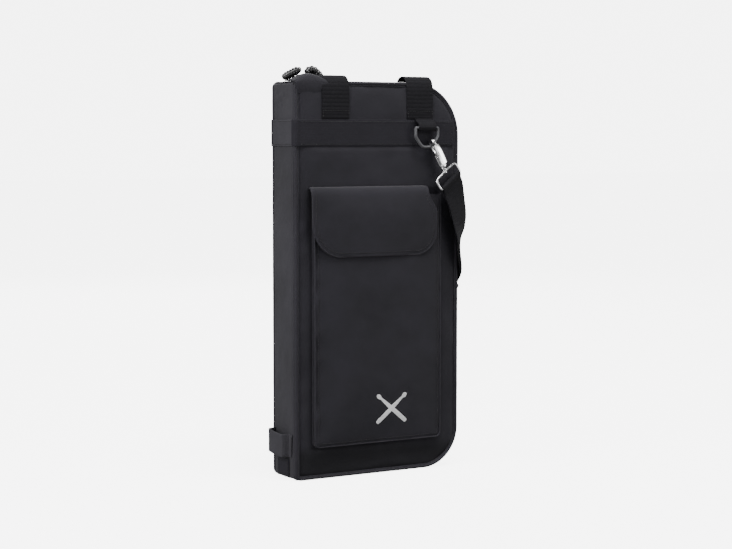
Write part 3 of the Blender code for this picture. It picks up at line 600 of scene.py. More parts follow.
def inflate(made, held, pressure=4.0, cap=2.0, frames=20, stiffness=8.0):
    """Blows a pad up as cloth, with the held vertices kept, no point moving further than the cap."""
    group = made.vertex_groups.new(name="held")
    group.add(sorted(held), 1.0, "REPLACE")
    start = [v.co.copy() for v in made.data.vertices]
    cloth_physics = made.modifiers.new("puff", "CLOTH")
    settings = cloth_physics.settings
    settings.vertex_group_mass = "held"
    settings.use_pressure = True
    settings.uniform_pressure_force = pressure
    settings.shrink_min = 0.0
    settings.tension_stiffness = settings.compression_stiffness = stiffness
    settings.bending_stiffness = 0.8
    settings.effector_weights.gravity = 0.0
    cloth_physics.point_cache.frame_end = frames
    scene = bpy.context.scene
    for step in range(1, frames + 1):
        scene.frame_set(step)
    shaped = made.evaluated_get(bpy.context.evaluated_depsgraph_get())
    ends = [v.co.copy() for v in shaped.data.vertices]
    made.modifiers.remove(cloth_physics)
    made.vertex_groups.clear()
    scene.frame_set(1)
    for vertex, first, last in zip(made.data.vertices, start, ends):
        move = last - first
        if move.length > cap * MM:
            move *= cap * MM / move.length
        vertex.co = first + move


# ---------------------------------------------------------------- strap and its metal

WEB_WIDTH, WEB_T = 38.0, 1.4
UPPER_EYE = Vector((72.0, -39.0, 403.6))
UPPER_STEM = Vector((0.42, -0.11, -0.90)).normalized()
UPPER_BAR = Vector((0.81, 0.25, 0.53)).normalized()
UPPER_AWAY = Vector((0.475, 0.251, -0.844)).normalized()
LOWER_SLOPE = Vector((0.86, 0.0, 0.51)).normalized()
LOWER_BAR = Vector((-94.2, 39.0, 39.5))
LOWER_SIDE = LOWER_SLOPE.cross(BACKWARD)
D_BAR, D_DROP = Vector((63.0, -39.0, 424.0)), 23.0
SLIDE = Vector((119.9, 2.0, 233.0))
SLIDE_ALONG = Vector((0.0, 0.66, -0.75)).normalized()
SLIDE_WIDTH = Vector((1, 0, 0)).cross(SLIDE_ALONG)
HOOK_LENGTH, RING_HALF, RING_REACH, RING_WIRE = 31.5, 21.0, 13.5, 1.6
UPPER_ROUTE = [
    ((108.0, -38.3, 330.0), (0.72, 0.38, 0.58)),
    ((113.2, -36.8, 305.0), (0.66, 0.46, 0.60)),
    ((116.2, -32.0, 281.0), (0.46, 0.60, 0.65)),
    ((119.0, -18.4, 255.6), (0.06, 0.75, 0.66)),
]
LOWER_ROUTE = [
    ((120.1, 21.6, 210.8), (0.04, 0.74, 0.67)),
    ((119.2, 35.6, 197.4), (-0.22, 0.44, 0.86)),
    ((110.0, 43.6, 183.5), (-0.50, 0.04, 0.86)),
    ((85.0, 42.0, 160.5), (-0.55, 0.0, 0.83)),
    ((56.0, 40.0, 134.5), (-0.55, 0.0, 0.83)),
    ((25.0, 39.0, 110.5), (-0.52, 0.0, 0.85)),
]


def ring_end(eye, stem, bar):
    """The middle of a strap ring's far bar, and the way that the strap leaves it."""
    out = (stem - stem.dot(bar) * bar).normalized()
    return eye + stem * (HOOK_LENGTH + 5.5) + out * RING_REACH, out


def smooth_route(route, steps=6):
    """(points, width directions) through a strap's route, on one smooth curve."""
    def curve(values):
        values = [Vector(v) for v in values]
        ends = [2 * values[0] - values[1], *values, 2 * values[-1] - values[-2]]
        return curve_points(ends, steps) + [values[-1]]

    points, hints = zip(*route)
    return curve(points), [h.normalized() for h in curve(hints)]


def offset_route(points, hints, distance):
    """A route moved off a strap's face by a distance at each point."""
    found = []
    for i, point in enumerate(points):
        heading = (points[min(i + 1, len(points) - 1)] - points[max(i - 1, 0)]).normalized()
        side = hints[i] - hints[i].dot(heading) * heading
        far = distance(i) if callable(distance) else distance
        found.append(point + heading.cross(side.normalized()) * far)
    return found


def wrap(bar_middle, away, normal, radius, steps=8):
    """Points round a ring's bar, from its normal side, over the near side, to its other side."""
    found = []
    for i in range(steps + 1):
        angle = math.pi * i / steps
        found.append(bar_middle + radius * (math.cos(angle) * normal - math.sin(angle) * away))
    return found


def add_strap():
    slide_reach = 14.5
    slide_width = SLIDE_WIDTH * math.copysign(1, SLIDE_WIDTH.z)
    start, away = ring_end(UPPER_EYE, UPPER_STEM, UPPER_BAR)[0], UPPER_AWAY
    route = [(start + away * reach, UPPER_BAR) for reach in (4.0, 7.0, 13.0)]
    route += [(Vector(p), Vector(h)) for p, h in UPPER_ROUTE]
    route.append((SLIDE - SLIDE_ALONG * slide_reach, slide_width))
    points, hints = smooth_route(route)
    normal = away.cross(UPPER_BAR).normalized()
    cut = 24
    # The sewn end: a short layer behind, round the ring's bar, and on as the strap itself.
    turn = wrap(start, away, -normal, RING_WIRE + 0.9)
    lining_layer = offset_route(points, hints, lambda i: -0.8 if i > 4 else -0.8 - 0.5 * (4 - i) / 4)
    face_layer = offset_route(points, hints, lambda i: 0.75 if i > 4 else 0.75 + 0.5 * (4 - i) / 4)
    end_route = list(reversed(lining_layer[: cut - 2])) + turn + face_layer[: cut + 1]
    end_hints = list(reversed(hints[: cut - 2])) + [UPPER_BAR] * len(turn) + hints[: cut + 1]
    strap_end = webbing("strap_sewn_end", end_route, end_hints, WEB_WIDTH, WEB_T)
    world(start + away * 2)
    world(points[cut])
    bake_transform(strap_end)
    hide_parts("strap_end_loop")
    over_bar = [SLIDE + ACROSS * lift + SLIDE_ALONG * reach
                for reach, lift in ((-8.0, 1.8), (1.0, 3.0), (5.0, 0.4))]
    middle_route = face_layer[cut:] + over_bar
    middle = webbing("strap_middle", middle_route, hints[cut:] + [slide_width] * 3, WEB_WIDTH - 0.6, WEB_T)
    world((116, -34, 290))
    world((116, -3, 250))
    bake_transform(middle)
    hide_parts("strap_upper")

    end, end_away = ring_end(LOWER_BAR + LOWER_SLOPE * D_DROP, LOWER_SLOPE, LOWER_SIDE)
    low = [(SLIDE + SLIDE_ALONG * slide_reach, slide_width)]
    low += [(Vector(p), Vector(h)) for p, h in LOWER_ROUTE]
    low += [(end + end_away * reach, LOWER_SIDE) for reach in (24, 4.0)]
    low_points, low_hints = smooth_route(low)
    count = len(low_points)

    def spread(sign):
        return lambda i: sign * (0.85 + 0.35 * math.sin(math.pi * i / (count - 1))
                                 + max(0, i - count + 5) * 0.25)

    outer = offset_route(low_points, low_hints, spread(1))
    inner = offset_route(low_points, low_hints, spread(-1))
    turn = wrap(end, end_away, (outer[-1] - inner[-1]).normalized(), RING_WIRE + 0.9)
    start_on = [SLIDE + SLIDE_ALONG * 2.0 + ACROSS * 2.6, SLIDE + SLIDE_ALONG * 9.0 + ACROSS * 2.2]
    finish_on = [SLIDE + SLIDE_ALONG * 9.0 - ACROSS * 1.6, SLIDE + SLIDE_ALONG * 3.0 - ACROSS * 2.2]
    first, last = (outer, inner) if (outer[0] - inner[0]).x > 0 else (inner, outer)
    turn = turn if first is outer else list(reversed(turn))
    full = start_on + first + turn + list(reversed(last)) + finish_on
    full_hints = low_hints + [LOWER_SIDE] * len(turn) + low_hints[::-1]
    full_hints = [slide_width] * 2 + full_hints + [slide_width] * 2
    lower = webbing("strap_lower_run", full, full_hints, WEB_WIDTH, WEB_T)
    world((120, 8, 236))
    world((112, 40, 200))
    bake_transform(lower)
    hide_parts("strap_lower")
    return lower, [world(p) for p in low_points], world(SLIDE + SLIDE_ALONG * slide_reach)


def d_ring(name, bar, down, side, **rest):
    half = 16.0
    shape = [(-half, 0.4), (-half + 0.9, -0.4), (-8, -0.5), (8, -0.5), (half - 0.9, -0.4), (half, 0.4)]
    shape += [(half + 0.1, 5), (half, 9.6), (half - 1.2, 12.4), (half - 6.6, 19.6), (half - 8.8, 21.6)]
    shape += [(5.0, 22.9), (0, 23.1), (-5.0, 22.9)]
    shape += [(-half + 8.8, 21.6), (-half + 6.6, 19.6), (-half + 1.2, 12.4), (-half, 9.6), (-half - 0.1, 5)]
    route = resampled([bar + side * a + down * b for a, b in shape], 1.2, closed=True)[:-1]
    return rod(name, route, 2.0, "black_plastic", 14, True, (1.12, 0.92), **rest)


def plate_strip(name, route, hints, widths, thickness, look, **rest):
    """A tapered plate along a route, with a crowned face."""
    def section(i, s):
        half, edge = widths[i] / 2, thickness / 2
        top = [(-half + edge * 0.6 + (2 * half - edge * 1.2) * k / 8, edge * (1.15 - 0.3 * abs(k - 4) / 4))
               for k in range(9)]
        rim = [(half, edge * 0.3), (half, -edge * 0.3)]
        return top + rim + [(-a, -b * 0.85) for a, b in top] + [(-a, -b) for a, b in rim]

    return sweep(name, route, hints, section, look, **rest)


def snap_hook(prefix, eye, stem, out, hook_body, gate_body):
    """A trigger snap hook round a D-ring: claw, back, shield and collar in one piece, the gate in another."""
    side = stem.cross(out).normalized()

    def at(down, outward, sideways=0.0):
        return eye + stem * down + out * outward + side * sideways

    def plate(name, line, width, thickness):
        route = resampled([at(*p) for p in line], 1.0)
        widths = [width(i, len(route)) for i in range(len(route))]
        return plate_strip(name, route, [side] * len(route), widths, thickness, "nickel")

    claw = [(1.4, 5.4), (0.0, 5.7), (-2.6, 4.9), (-4.6, 2.6), (-5.3, 0.0), (-4.6, -2.8), (-2.2, -4.9),
            (1.2, -5.4), (4.6, -5.0), (8.5, -3.7), (12.4, -2.0), (16.0, -1.0), (20.0, -0.6)]
    route = resampled([at(*p) for p in claw], 0.9)
    count = len(route)
    radii = [1.55 + 0.75 * min(1.0, i / 8) + 0.9 * (i / count) ** 2 for i in range(count)]
    collar = [at(27.1, 1.4), at(28.1, 1.2), at(28.9, 0.8), at(29.9, 0.4), at(30.7, 0.1), at(31.9, 0)]
    parts = [
        rod("claw", route, radii, "nickel", squash=(1.0, 1.35)),
        plate("body", [(14.0, -1.2), (18.0, -0.6), (23.0, 0.2), (27.8, 0.6)],
              lambda i, n: 7.6 + 2.0 * i / (n - 1), 5.0),
        plate("shield", [(15.2, 3.2), (19.0, 3.4), (24.0, 3.2), (28.0, 2.6)], lambda i, n: 9.6, 2.2),
        rod("collar", collar, [4.6, 5.0, 4.6, 3.4, 3.9, 3.2], "nickel", 20),
    ]
    merge(f"{prefix}_hook_metal", parts, hook_body, [f"{prefix}_snap_hook"])
    gate = plate("lever", [(1.2, 6.0), (5.0, 6.5), (12.0, 6.7), (19.0, 6.6), (26.0, 6.0)],
                 lambda i, n: 7.4 + 2.6 * min(1.0, i / 8), 2.4)
    pin = rod("pin", [at(16.5, 4.8, d) for d in (-5.1, -4.7, 4.7, 5.1)], [0.9, 1.3, 1.3, 0.9], "nickel", 12)
    merge(f"{prefix}_hook_trigger", [gate, pin], gate_body, [f"{prefix}_hook_gate"])


def strap_ring(prefix, eye, stem, bar, body):
    out = (stem - stem.dot(bar) * bar).normalized()
    middle = eye + stem * (HOOK_LENGTH + 5.5)
    half = RING_HALF
    shape = [(-half + 3.4, 0.0), (-8, -0.6), (0, -0.9), (8, -0.6), (half - 3.4, 0.0), (half - 1.0, 1.2),
             (half, 3.6)]
    shape += [(half, RING_REACH - 3), (half - 0.8, RING_REACH - 0.7)]
    shape += [(half - 2.6, RING_REACH), (8, RING_REACH), (-8, RING_REACH)]
    shape += [(-half + 2.6, RING_REACH), (-half + 0.8, RING_REACH - 0.7), (-half, RING_REACH - 3)]
    shape += [(-half, 3.6), (-half + 1.0, 1.2)]
    route = resampled([middle + bar * a + out * b for a, b in shape], 1.1, closed=True)[:-1]
    ring = rod("ring", route, RING_WIRE, "nickel", 14, True, (1.1, 0.95))
    post = [eye + stem * (HOOK_LENGTH + d) for d in (0.6, 1.4, 2.4, 3.6, 5.0, 6.6, 7.4)]
    pin = rod("post", post, [2.0, 2.9, 2.9, 1.9, 2.2, 2.4, 1.2], "nickel", 18)
    return merge(f"{prefix}_ring_metal", [ring, pin], body, [f"{prefix}_strap_ring"])


def tab(name, place, look_body, node):
    """A webbing tab, sewn to a panel, that folds round a D-ring's bar. place(out, up) gives its points."""
    route = [(6.9, 12.0), (6.6, 9.0), (5.6, 5.6), (3.9, 2.0), (2.8, -1.4), (1.5, -3.0), (0.0, -3.5),
             (-1.5, -3.1), (-2.8, -1.7), (-3.3, 1.2), (-1.6, 4.4), (2.2, 7.6), (4.9, 10.0), (5.4, 12.0)]
    points = resampled([place(out, up)[0] for out, up in route], 0.8)
    return webbing(name, points, [place(0, 0)[1]] * len(points), 25.4, 1.2, rib=3.2, depth=0.16,
                   body=look_body, replaces=[node])


def add_hardware():
    d_ring("upper_d_ring_moulding", D_BAR, -UP, ACROSS, body="upper_ring", replaces=["upper_d_ring"])
    tab("upper_ring_tab", lambda out, up: (D_BAR + Vector((0, out, up)), ACROSS),
        "front_shell", "upper_d_ring_tab")
    upper_out = (-BACKWARD + UPPER_STEM * UPPER_STEM.y).normalized()
    snap_hook("upper", UPPER_EYE, UPPER_STEM, upper_out, "upper_hook", "upper_gate")
    strap_ring("upper", UPPER_EYE, UPPER_STEM, UPPER_BAR, "upper_ring")
    lower_eye = LOWER_BAR + LOWER_SLOPE * D_DROP
    d_ring("lower_d_ring_moulding", LOWER_BAR, LOWER_SLOPE, LOWER_SIDE,
           body="back_shell", replaces=["lower_d_ring"])
    tab("lower_ring_tab", lambda out, up: (LOWER_BAR - BACKWARD * out - LOWER_SLOPE * up, LOWER_SIDE),
        "back_shell", "lower_d_ring_tab")
    snap_hook("lower", lower_eye, LOWER_SLOPE, BACKWARD, "back_shell", "lower_gate")
    strap_ring("lower", lower_eye, LOWER_SLOPE, LOWER_SIDE, "back_shell")
    slide = []
    half_l, half_w, bar = 10.4, 22.5, 2.4
    for middle, reach in ((-half_l, 1.0), (0.0, 0.85), (half_l, 1.0)):
        ends = [SLIDE + SLIDE_ALONG * middle + SLIDE_WIDTH * half_w * t for t in (-1, -0.5, 0, 0.5, 1)]
        slide.append(rod("bar", resampled(ends, 3.0), bar * reach, "black_plastic", 14,
                         squash=(1.0, 0.68)))
    for sign in (-1, 1):
        ends = [SLIDE + SLIDE_WIDTH * sign * half_w + SLIDE_ALONG * half_l * t
                for t in (-1.12, -1, -0.5, 0, 0.5, 1, 1.12)]
        radii = [bar * 0.7, bar, bar, bar, bar, bar, bar * 0.7]
        slide.append(rod("side", ends, radii, "black_plastic", 14, squash=(1.0, 0.72)))
    return merge("strap_slide", slide, "spine", ["strap_adjuster"])


# ---------------------------------------------------------------- the two half shells


def rim_strip(name, route, profile, look, closed=False, **rest):
    """A strip that follows the rim. profile(i, s) gives its section as (y, distance out) points."""
    marks = along([Vector((x, 0, z)) for x, z, _, _ in route])
    rings, uvs = [], []
    for i, (x, z, nx, nz) in enumerate(route):
        cells = profile(i, marks[i])
        rings.append([Vector((x + nx * out, y, z + nz * out)) for y, out in cells])
        uvs += [((y + out) * MM, marks[i] * MM) for y, out in cells]
    return skinned(name, rings, look, closed, uvs=uvs, **rest)


def smooth(low, high, value):
    t = min(1.0, max(0.0, (value - low) / (high - low)))
    return t * t * (3 - 2 * t)


def inside(x, z, left, right, low, high, soft):
    """1 well inside a rectangle, falling to 0 outside it."""
    return min(
        smooth(left - soft, left, x), 1 - smooth(right, right + soft, x),
        smooth(low - soft, low, z), 1 - smooth(high, high + soft, z),
    )


LOOP_X = (-61.0, 58.0)
PANEL_CORNERS = (2.6, 44.6, 2.6, 59.6)
PANEL_EDGE = (-110.6, 110.6, 5.4, 474.6)


def panel_relief(side, x, z):
    """How far a panel's face stands out of its flat CAD face."""
    gap = edge_gap(x, z, *PANEL_EDGE, PANEL_CORNERS)
    rise = 0.8 * smooth(0, 26, gap) + 1.0 * wrinkle(x, z, 55, 3.1) + 0.5 * wrinkle(x, z, 19, 8.2)
    rise -= 1.9 * (1 - smooth(0, 4.5, gap)) ** 2
    if side == "front":
        rise -= 1.3 * (1 - smooth(2, 40, z))
        for middle in LOOP_X:
            rise *= 1 - inside(x, z, middle - 19, middle + 19, 434, 476, 3)
        low_zone = inside(x, z, -96, 92, 8, 34, 8)
        rise -= low_zone * (0.7 + 1.5 * wrinkle(x, z * 1.6, 26, 5.5))
        rise -= 1.6 * math.exp(-(((x - 42) / 20) ** 2) - (((z - 22) / 9) ** 2))
        rise -= 0.9 * math.exp(-(((x + 38) / 30) ** 2) - (((z - 16) / 8) ** 2))
        corner = math.hypot(x - 66, z - 50)
        pucker = math.sin(math.atan2(z - 50, x - 66) * 26)
        rise += 0.5 * pucker * inside(x, z, 72, 116, 0, 46, 6) * smooth(24, 40, corner)
        covered = inside(x, z, -96, 84, 38, 346, 6)
        rise = rise * (1 - covered) - 0.4 * covered
        groove = math.exp(-(((z - 37.2) / 1.8) ** 2)) * inside(x, z, -96, 66, 30, 46, 3)
        rise -= 1.1 * groove
    else:
        rise += 1.1 * inside(x, z, -80, 80, 60, 360, 50) * (0.4 + wrinkle(x, z, 90, 1.7))
    band = inside(x, z, -111, 108.5, 402, 434, 4)
    return rise * (1 - band) - 0.3 * band


def add_panel(side):
    sign = SIDES[side]
    grid = rounded_rows(*PANEL_EDGE[:2], *PANEL_EDGE[2:], PANEL_CORNERS, 56, 132)
    made = cushion(
        f"{side}_panel_cloth", grid,
        lambda x, z: sign * max(27.2, 29.5 + panel_relief(side, x, z)), lambda x, z: sign * 27.0,
        "front_fabric", sim={"cap": 0.7},
        body=f"{side}_shell", replaces=[f"{side}_panel"],
    )
    return made


def add_rim(side):
    sign, body = SIDES[side], f"{side}_shell"
    seed = 2.0 + sign

    def cord(i, s):
        radius = 2.3 + 0.12 * noise.noise(Vector((s / 9, seed, 0)))
        lean = 0.25 * noise.noise(Vector((s / 30, seed, 4)))
        turns = [math.tau * (j + 0.5) / 14 for j in range(14)]
        return [(sign * (27.6 + lean) + radius * math.sin(a), -2.4 + radius * math.cos(a)) for a in turns]

    rim_strip(f"{side}_rim_piping", rim_route(2.4), cord, "piping", closed=True,
              body=body, replaces=[f"{side}_piping"])

    def flange(i, s):
        wave = 0.12 * noise.noise(Vector((s / 7, seed, 9)))
        shape = ((24.9, -0.6), (25.6, -2.0), (26.6, -5.0), (28.9, -5.6), (29.1, -4.6), (28.0, -3.4),
                 (26.0, -0.4))
        return [(sign * y, out + wave) for y, out in shape]

    rim_strip(f"{side}_rim_seam", rim_route(3.0), flange, "piping", closed=True, body=body)

    def wall(i, s):
        found = []
        for k in range(15):
            y = 4.1 + 20.7 * k / 14
            arch = math.sin(math.pi * k / 14)
            roll = 0.5 * noise.noise(Vector((s / 34, y / 18, seed)))
            roll += 0.3 * noise.noise(Vector((s / 11, y / 9, seed)))
            stitch = 0.35 * math.exp(-(((y - 7.6) / 0.7) ** 2))
            found.append((sign * y, -0.25 - 0.75 * arch + min(0.2, roll * arch) - stitch))
        return found + [(sign * y, -2.7) for y in (24.8, 17.9, 11.0, 4.1)]

    rim_strip(f"{side}_side_wall", zip_route(SPINE_X + 4, 2.6), wall, "gusset_fabric",
              body=body, replaces=[f"{side}_gusset"])

    def tape(i, s):
        ripple = 0.12 * noise.noise(Vector((s / 12, seed, 1)))
        edge = [(3.2, -2.2), (4.4, -3.05), (7.0, -3.15), (9.5, -3.2), (11.9, -3.2)]
        return ([(sign * y, out + ripple) for y, out in edge]
                + [(sign * y, out + ripple - 0.8) for y, out in reversed(edge)])

    rim_strip(f"{side}_zip_weave", zip_route(SPINE_X + 8, 2.6), tape, "zip_tape",
              body=body, replaces=[f"{side}_zip_tape"])
    add_teeth(side)


TOOTH_PITCH = 2.4


def add_teeth(side):
    """One row of coil teeth: small loops that reach past the middle, each between two of the other row."""
    sign = SIDES[side]
    route = zip_route(SPINE_X + 8, 1.0)
    points = [Vector((x, 0, z)) for x, z, _, _ in route]
    outs = [Vector((nx, 0, nz)) for _, _, nx, nz in route]
    profile = [(3.6, -2.0, 0.42), (3.0, -1.1, 0.5), (1.4, -0.75, 0.55), (0.1, -0.85, 0.62),
               (-0.35, -1.5, 0.6), (0.2, -2.15, 0.5), (3.0, -2.5, 0.42)]
    vertices, faces, marks, k = [], [], along(points), 0
    s = 1.2 + (0.0 if sign < 0 else TOOTH_PITCH / 2)
    while s < marks[-1] - 1.2:
        k, t = span_at(marks, s, k)
        middle, out = points[k].lerp(points[k + 1], t), outs[k].lerp(outs[k + 1], t).normalized()
        way = (points[k + 1] - points[k]).normalized()
        rings = []
        for y, height, half in profile:
            core = middle + out * height + Vector((0, sign * y, 0))
            rings.append([core + way * half * math.cos(a) + out * half * 0.62 * math.sin(a)
                          for a in (math.pi * (2 * j + 1) / 6 for j in range(6))])
        add_solid(vertices, faces, rings)
        s += TOOTH_PITCH
    shape = ((0.55, -2.75), (3.7, -2.75), (3.7, -1.9), (2.9, -1.55), (0.55, -2.2))
    bed = [(sign * y, out) for y, out in shape]
    base = rim_strip("bed", zip_route(SPINE_X + 8, 2.6), lambda i, s: bed, "zip_teeth")
    row = piece("row", vertices, faces, "zip_teeth", sharp=60)
    merge(f"{side}_zip_coil", [row, base], f"{side}_shell", [f"{side}_zip_teeth"])


def flat_plate(name, x_range, z_range, y_face, y_back, look, corners=(2.0, 2.0, 2.0, 2.0), cells=(20, 40),
               swell=0.3, seed=1.0, **rest):
    """A flat layer with a little life in its face."""
    grid = rounded_rows(*x_range, *z_range, corners, *cells)
    sign = math.copysign(1, y_face - y_back)

    def face(x, z):
        gap = edge_gap(x, z, *x_range, *z_range, corners)
        return y_face + sign * (swell * (wrinkle(x, z, 24, seed) - 0.5) - 0.3 * (1 - smooth(0, 2, gap)))

    return cushion(name, grid, face, lambda x, z: y_back, look, **rest)


INSIDE_X, INSIDE_Z, INSIDE_CORNERS = (-109.6, 109.6), (6.4, 473.6), (1.6, 43.6, 1.6, 58.6)
SLEEVE_PITCH, SLEEVE_FOOT, SLEEVE_TOP, SLEEVE_BACK = 47.5, 14.0, 292.0, 23.1


def add_inside(side):
    sign, body = SIDES[side], f"{side}_shell"
    flat_plate(f"{side}_board", INSIDE_X, INSIDE_Z, sign * 26.7, sign * 24.75, "board",
               INSIDE_CORNERS, (30, 50), 0.0, 1.0, body=body, replaces=[f"{side}_stiffener"])
    flat_plate(f"{side}_lining_cloth", INSIDE_X, INSIDE_Z, sign * 23.5, sign * 24.4, "lining",
               INSIDE_CORNERS, (40, 90), 0.45, 3.0 + sign, body=body, replaces=[f"{side}_lining"])
    parts = []
    for j in range(4):
        left = -97 + SLEEVE_PITCH * j
        grid = rounded_rows(left + 0.6, left + 46.9, SLEEVE_FOOT, SLEEVE_TOP, (3.0, 3.0, 0.5, 0.5), 18, 60)

        def face(x, z, left=left):
            u = (x - left - 23.75) / 23.15
            arch = math.sqrt(max(0.0, 1 - abs(u) ** 2.6))
            slack = 0.8 * wrinkle(x, z, 30, j + sign) + 0.4 * wrinkle(x, z, 10, 2 * j)
            close = smooth(SLEEVE_FOOT, SLEEVE_FOOT + 20, z)
            return sign * (SLEEVE_BACK - arch * (4.5 + 11.5 * close + slack * arch) - 0.4)

        parts.append(cushion(f"sleeve_{j}", grid, face, lambda x, z: sign * SLEEVE_BACK, "lining"))
        hem = [left + 0.8 + 46 * k / 16 for k in range(17)]
        route = [Vector((x, face(x, SLEEVE_TOP) - sign * 0.3, SLEEVE_TOP - 1.0)) for x in hem]
        parts.append(rod("hem", route, 0.7, "thread", 8, slot="lining"))
    merge(f"{side}_sleeve_row", parts, body, [f"{side}_stick_sleeves"])


# ---------------------------------------------------------------- bands, loops and spine


def stitches(name, route, normal, pitch=3.4, reach=2.3, thick=0.32, **rest):
    """A row of stitches along a route: short rounded threads that dip in at both ends."""
    points = [Vector(p) for p in route]
    vertices, faces, marks, k, s = [], [], along(points), 0, pitch * 0.5
    stations = ((-0.5, 0.45, -0.3), (-0.36, 0.9, 0.02), (0.0, 1.0, 0.12), (0.36, 0.9, 0.02),
                (0.5, 0.45, -0.3))
    out = Vector(normal)
    while s < marks[-1] - pitch * 0.5:
        k, t = span_at(marks, s, k)
        middle, way = points[k].lerp(points[k + 1], t), (points[k + 1] - points[k]).normalized()
        side, rings = way.cross(out).normalized(), []
        for u, size, lift in stations:
            core = middle + way * (u * reach) + out * lift
            rings.append([core + (side * math.cos(a) + out * math.sin(a)) * thick * size
                          for a in (math.tau * j / 6 for j in range(6))])
        add_solid(vertices, faces, rings)
        s += pitch
    return piece(name, vertices, faces, "thread", sharp=70, **rest)


BAND_Z, BAND_SEAMS = 418.0, (404.4, 431.6)
BAND_SHAPE = {"width": 32.0, "thickness": 1.2, "rib": 2.4, "depth": 0.1}
LOOP_ROUTE = [(30.25, 434.4), (30.9, 438), (31.1, 446), (31.2, 458), (31.1, 468), (30.3, 475), (28.3, 480.6),
              (24.6, 484.6), (19.5, 486.6), (14.0, 486.0), (10.2, 483.8), (8.2, 481.6), (7.6, 480.8)]


def add_bands_and_loops(side):
    sign, body = SIDES[side], f"{side}_shell"
    out = Vector((0, sign, 0))
    points = [Vector((x, sign * (30.45 + 0.12 * wrinkle(x, BAND_Z, 20, sign)), BAND_Z))
              for x in range(-110, 108, 3)]
    points.append(Vector((107.4, sign * 30.3, BAND_Z)))
    webbing(f"{side}_band_web", points, [UP] * len(points), look="band", **BAND_SHAPE,
            body=body, replaces=[f"{side}_band"])
    rows = [stitches("row", [(x, sign * 31.05, z) for x in (-109, 106)], out) for z in BAND_SEAMS]
    rows.append(stitches("row", [(104.8, sign * 31.0, z) for z in (405, 431)], out))
    corner = [(-110.2, 30.5), (-113.0, 30.75), (-115.2, 30.1), (-116.5, 28.5), (-117.0, 26.4), (-117.1, 24.5)]
    wrapped = resampled([(x, sign * y, BAND_Z) for x, y in corner], 0.9)
    turn = webbing(f"{side}_band_corner", wrapped, [UP] * len(wrapped), look="band", **BAND_SHAPE)
    world((-111.0, sign * 30.5, BAND_Z))
    world((-117.0, sign * 25.0, BAND_Z))
    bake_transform(turn)
    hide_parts(f"{side}_band")
    for where, x in zip(("left", "right"), LOOP_X if side == "front" else ()):
        points = resampled([(x, sign * y, z) for y, z in LOOP_ROUTE], 1.0)
        webbing(f"{side}_{where}_loop_web", points, [ACROSS] * len(points), WEB_WIDTH, WEB_T,
                body=body, replaces=[f"{side}_{where}_hanging_loop"])
        foot = [(x + across, sign * 31.95, z)
                for across, z in ((-17.6, 436.5), (-17.6, 444.5), (17.6, 444.5), (17.6, 436.5))]
        rows.append(stitches("row", evenly(foot, 2.0), out))
    merge(f"{side}_web_stitches", rows, body)


def spine_relief(y, z):
    rise = 1.3 * inside(y, z, -14, 14, 90, 330, 90) * math.cos(math.pi * y / 60)
    rise += 0.45 * wrinkle(y, z * 0.6, 22, 6.6) + 0.3 * wrinkle(y, z, 9, 2.2)
    for crease_y, crease_z, tilt in ((-6, 462, 0.35), (5, 457, -0.25), (-1, 451, 0.2), (12, 466, -0.3)):
        line = z - crease_z - tilt * (y - crease_y)
        rise -= 0.9 * math.exp(-((line / 1.3) ** 2)) * math.exp(-(((y - crease_y) / 7) ** 2))
    rise *= inside(y, z, -20, 20, 10, 470, 9)
    covered = max(inside(y, z, -25, 25, 402, 434, 3), inside(y, z, -14.5, 14.5, 0, 25, 3),
                  inside(y, z, -25, 25, 31, 57, 4) * 0.8)
    return rise * (1 - covered) - 0.2 * covered


SPINE_EDGE = (-24.4, 24.4, 2.6, 477.4)
SPINE_WEB = {"width": 28.0, "thickness": WEB_T, "rib": 3.2, "depth": 0.16}


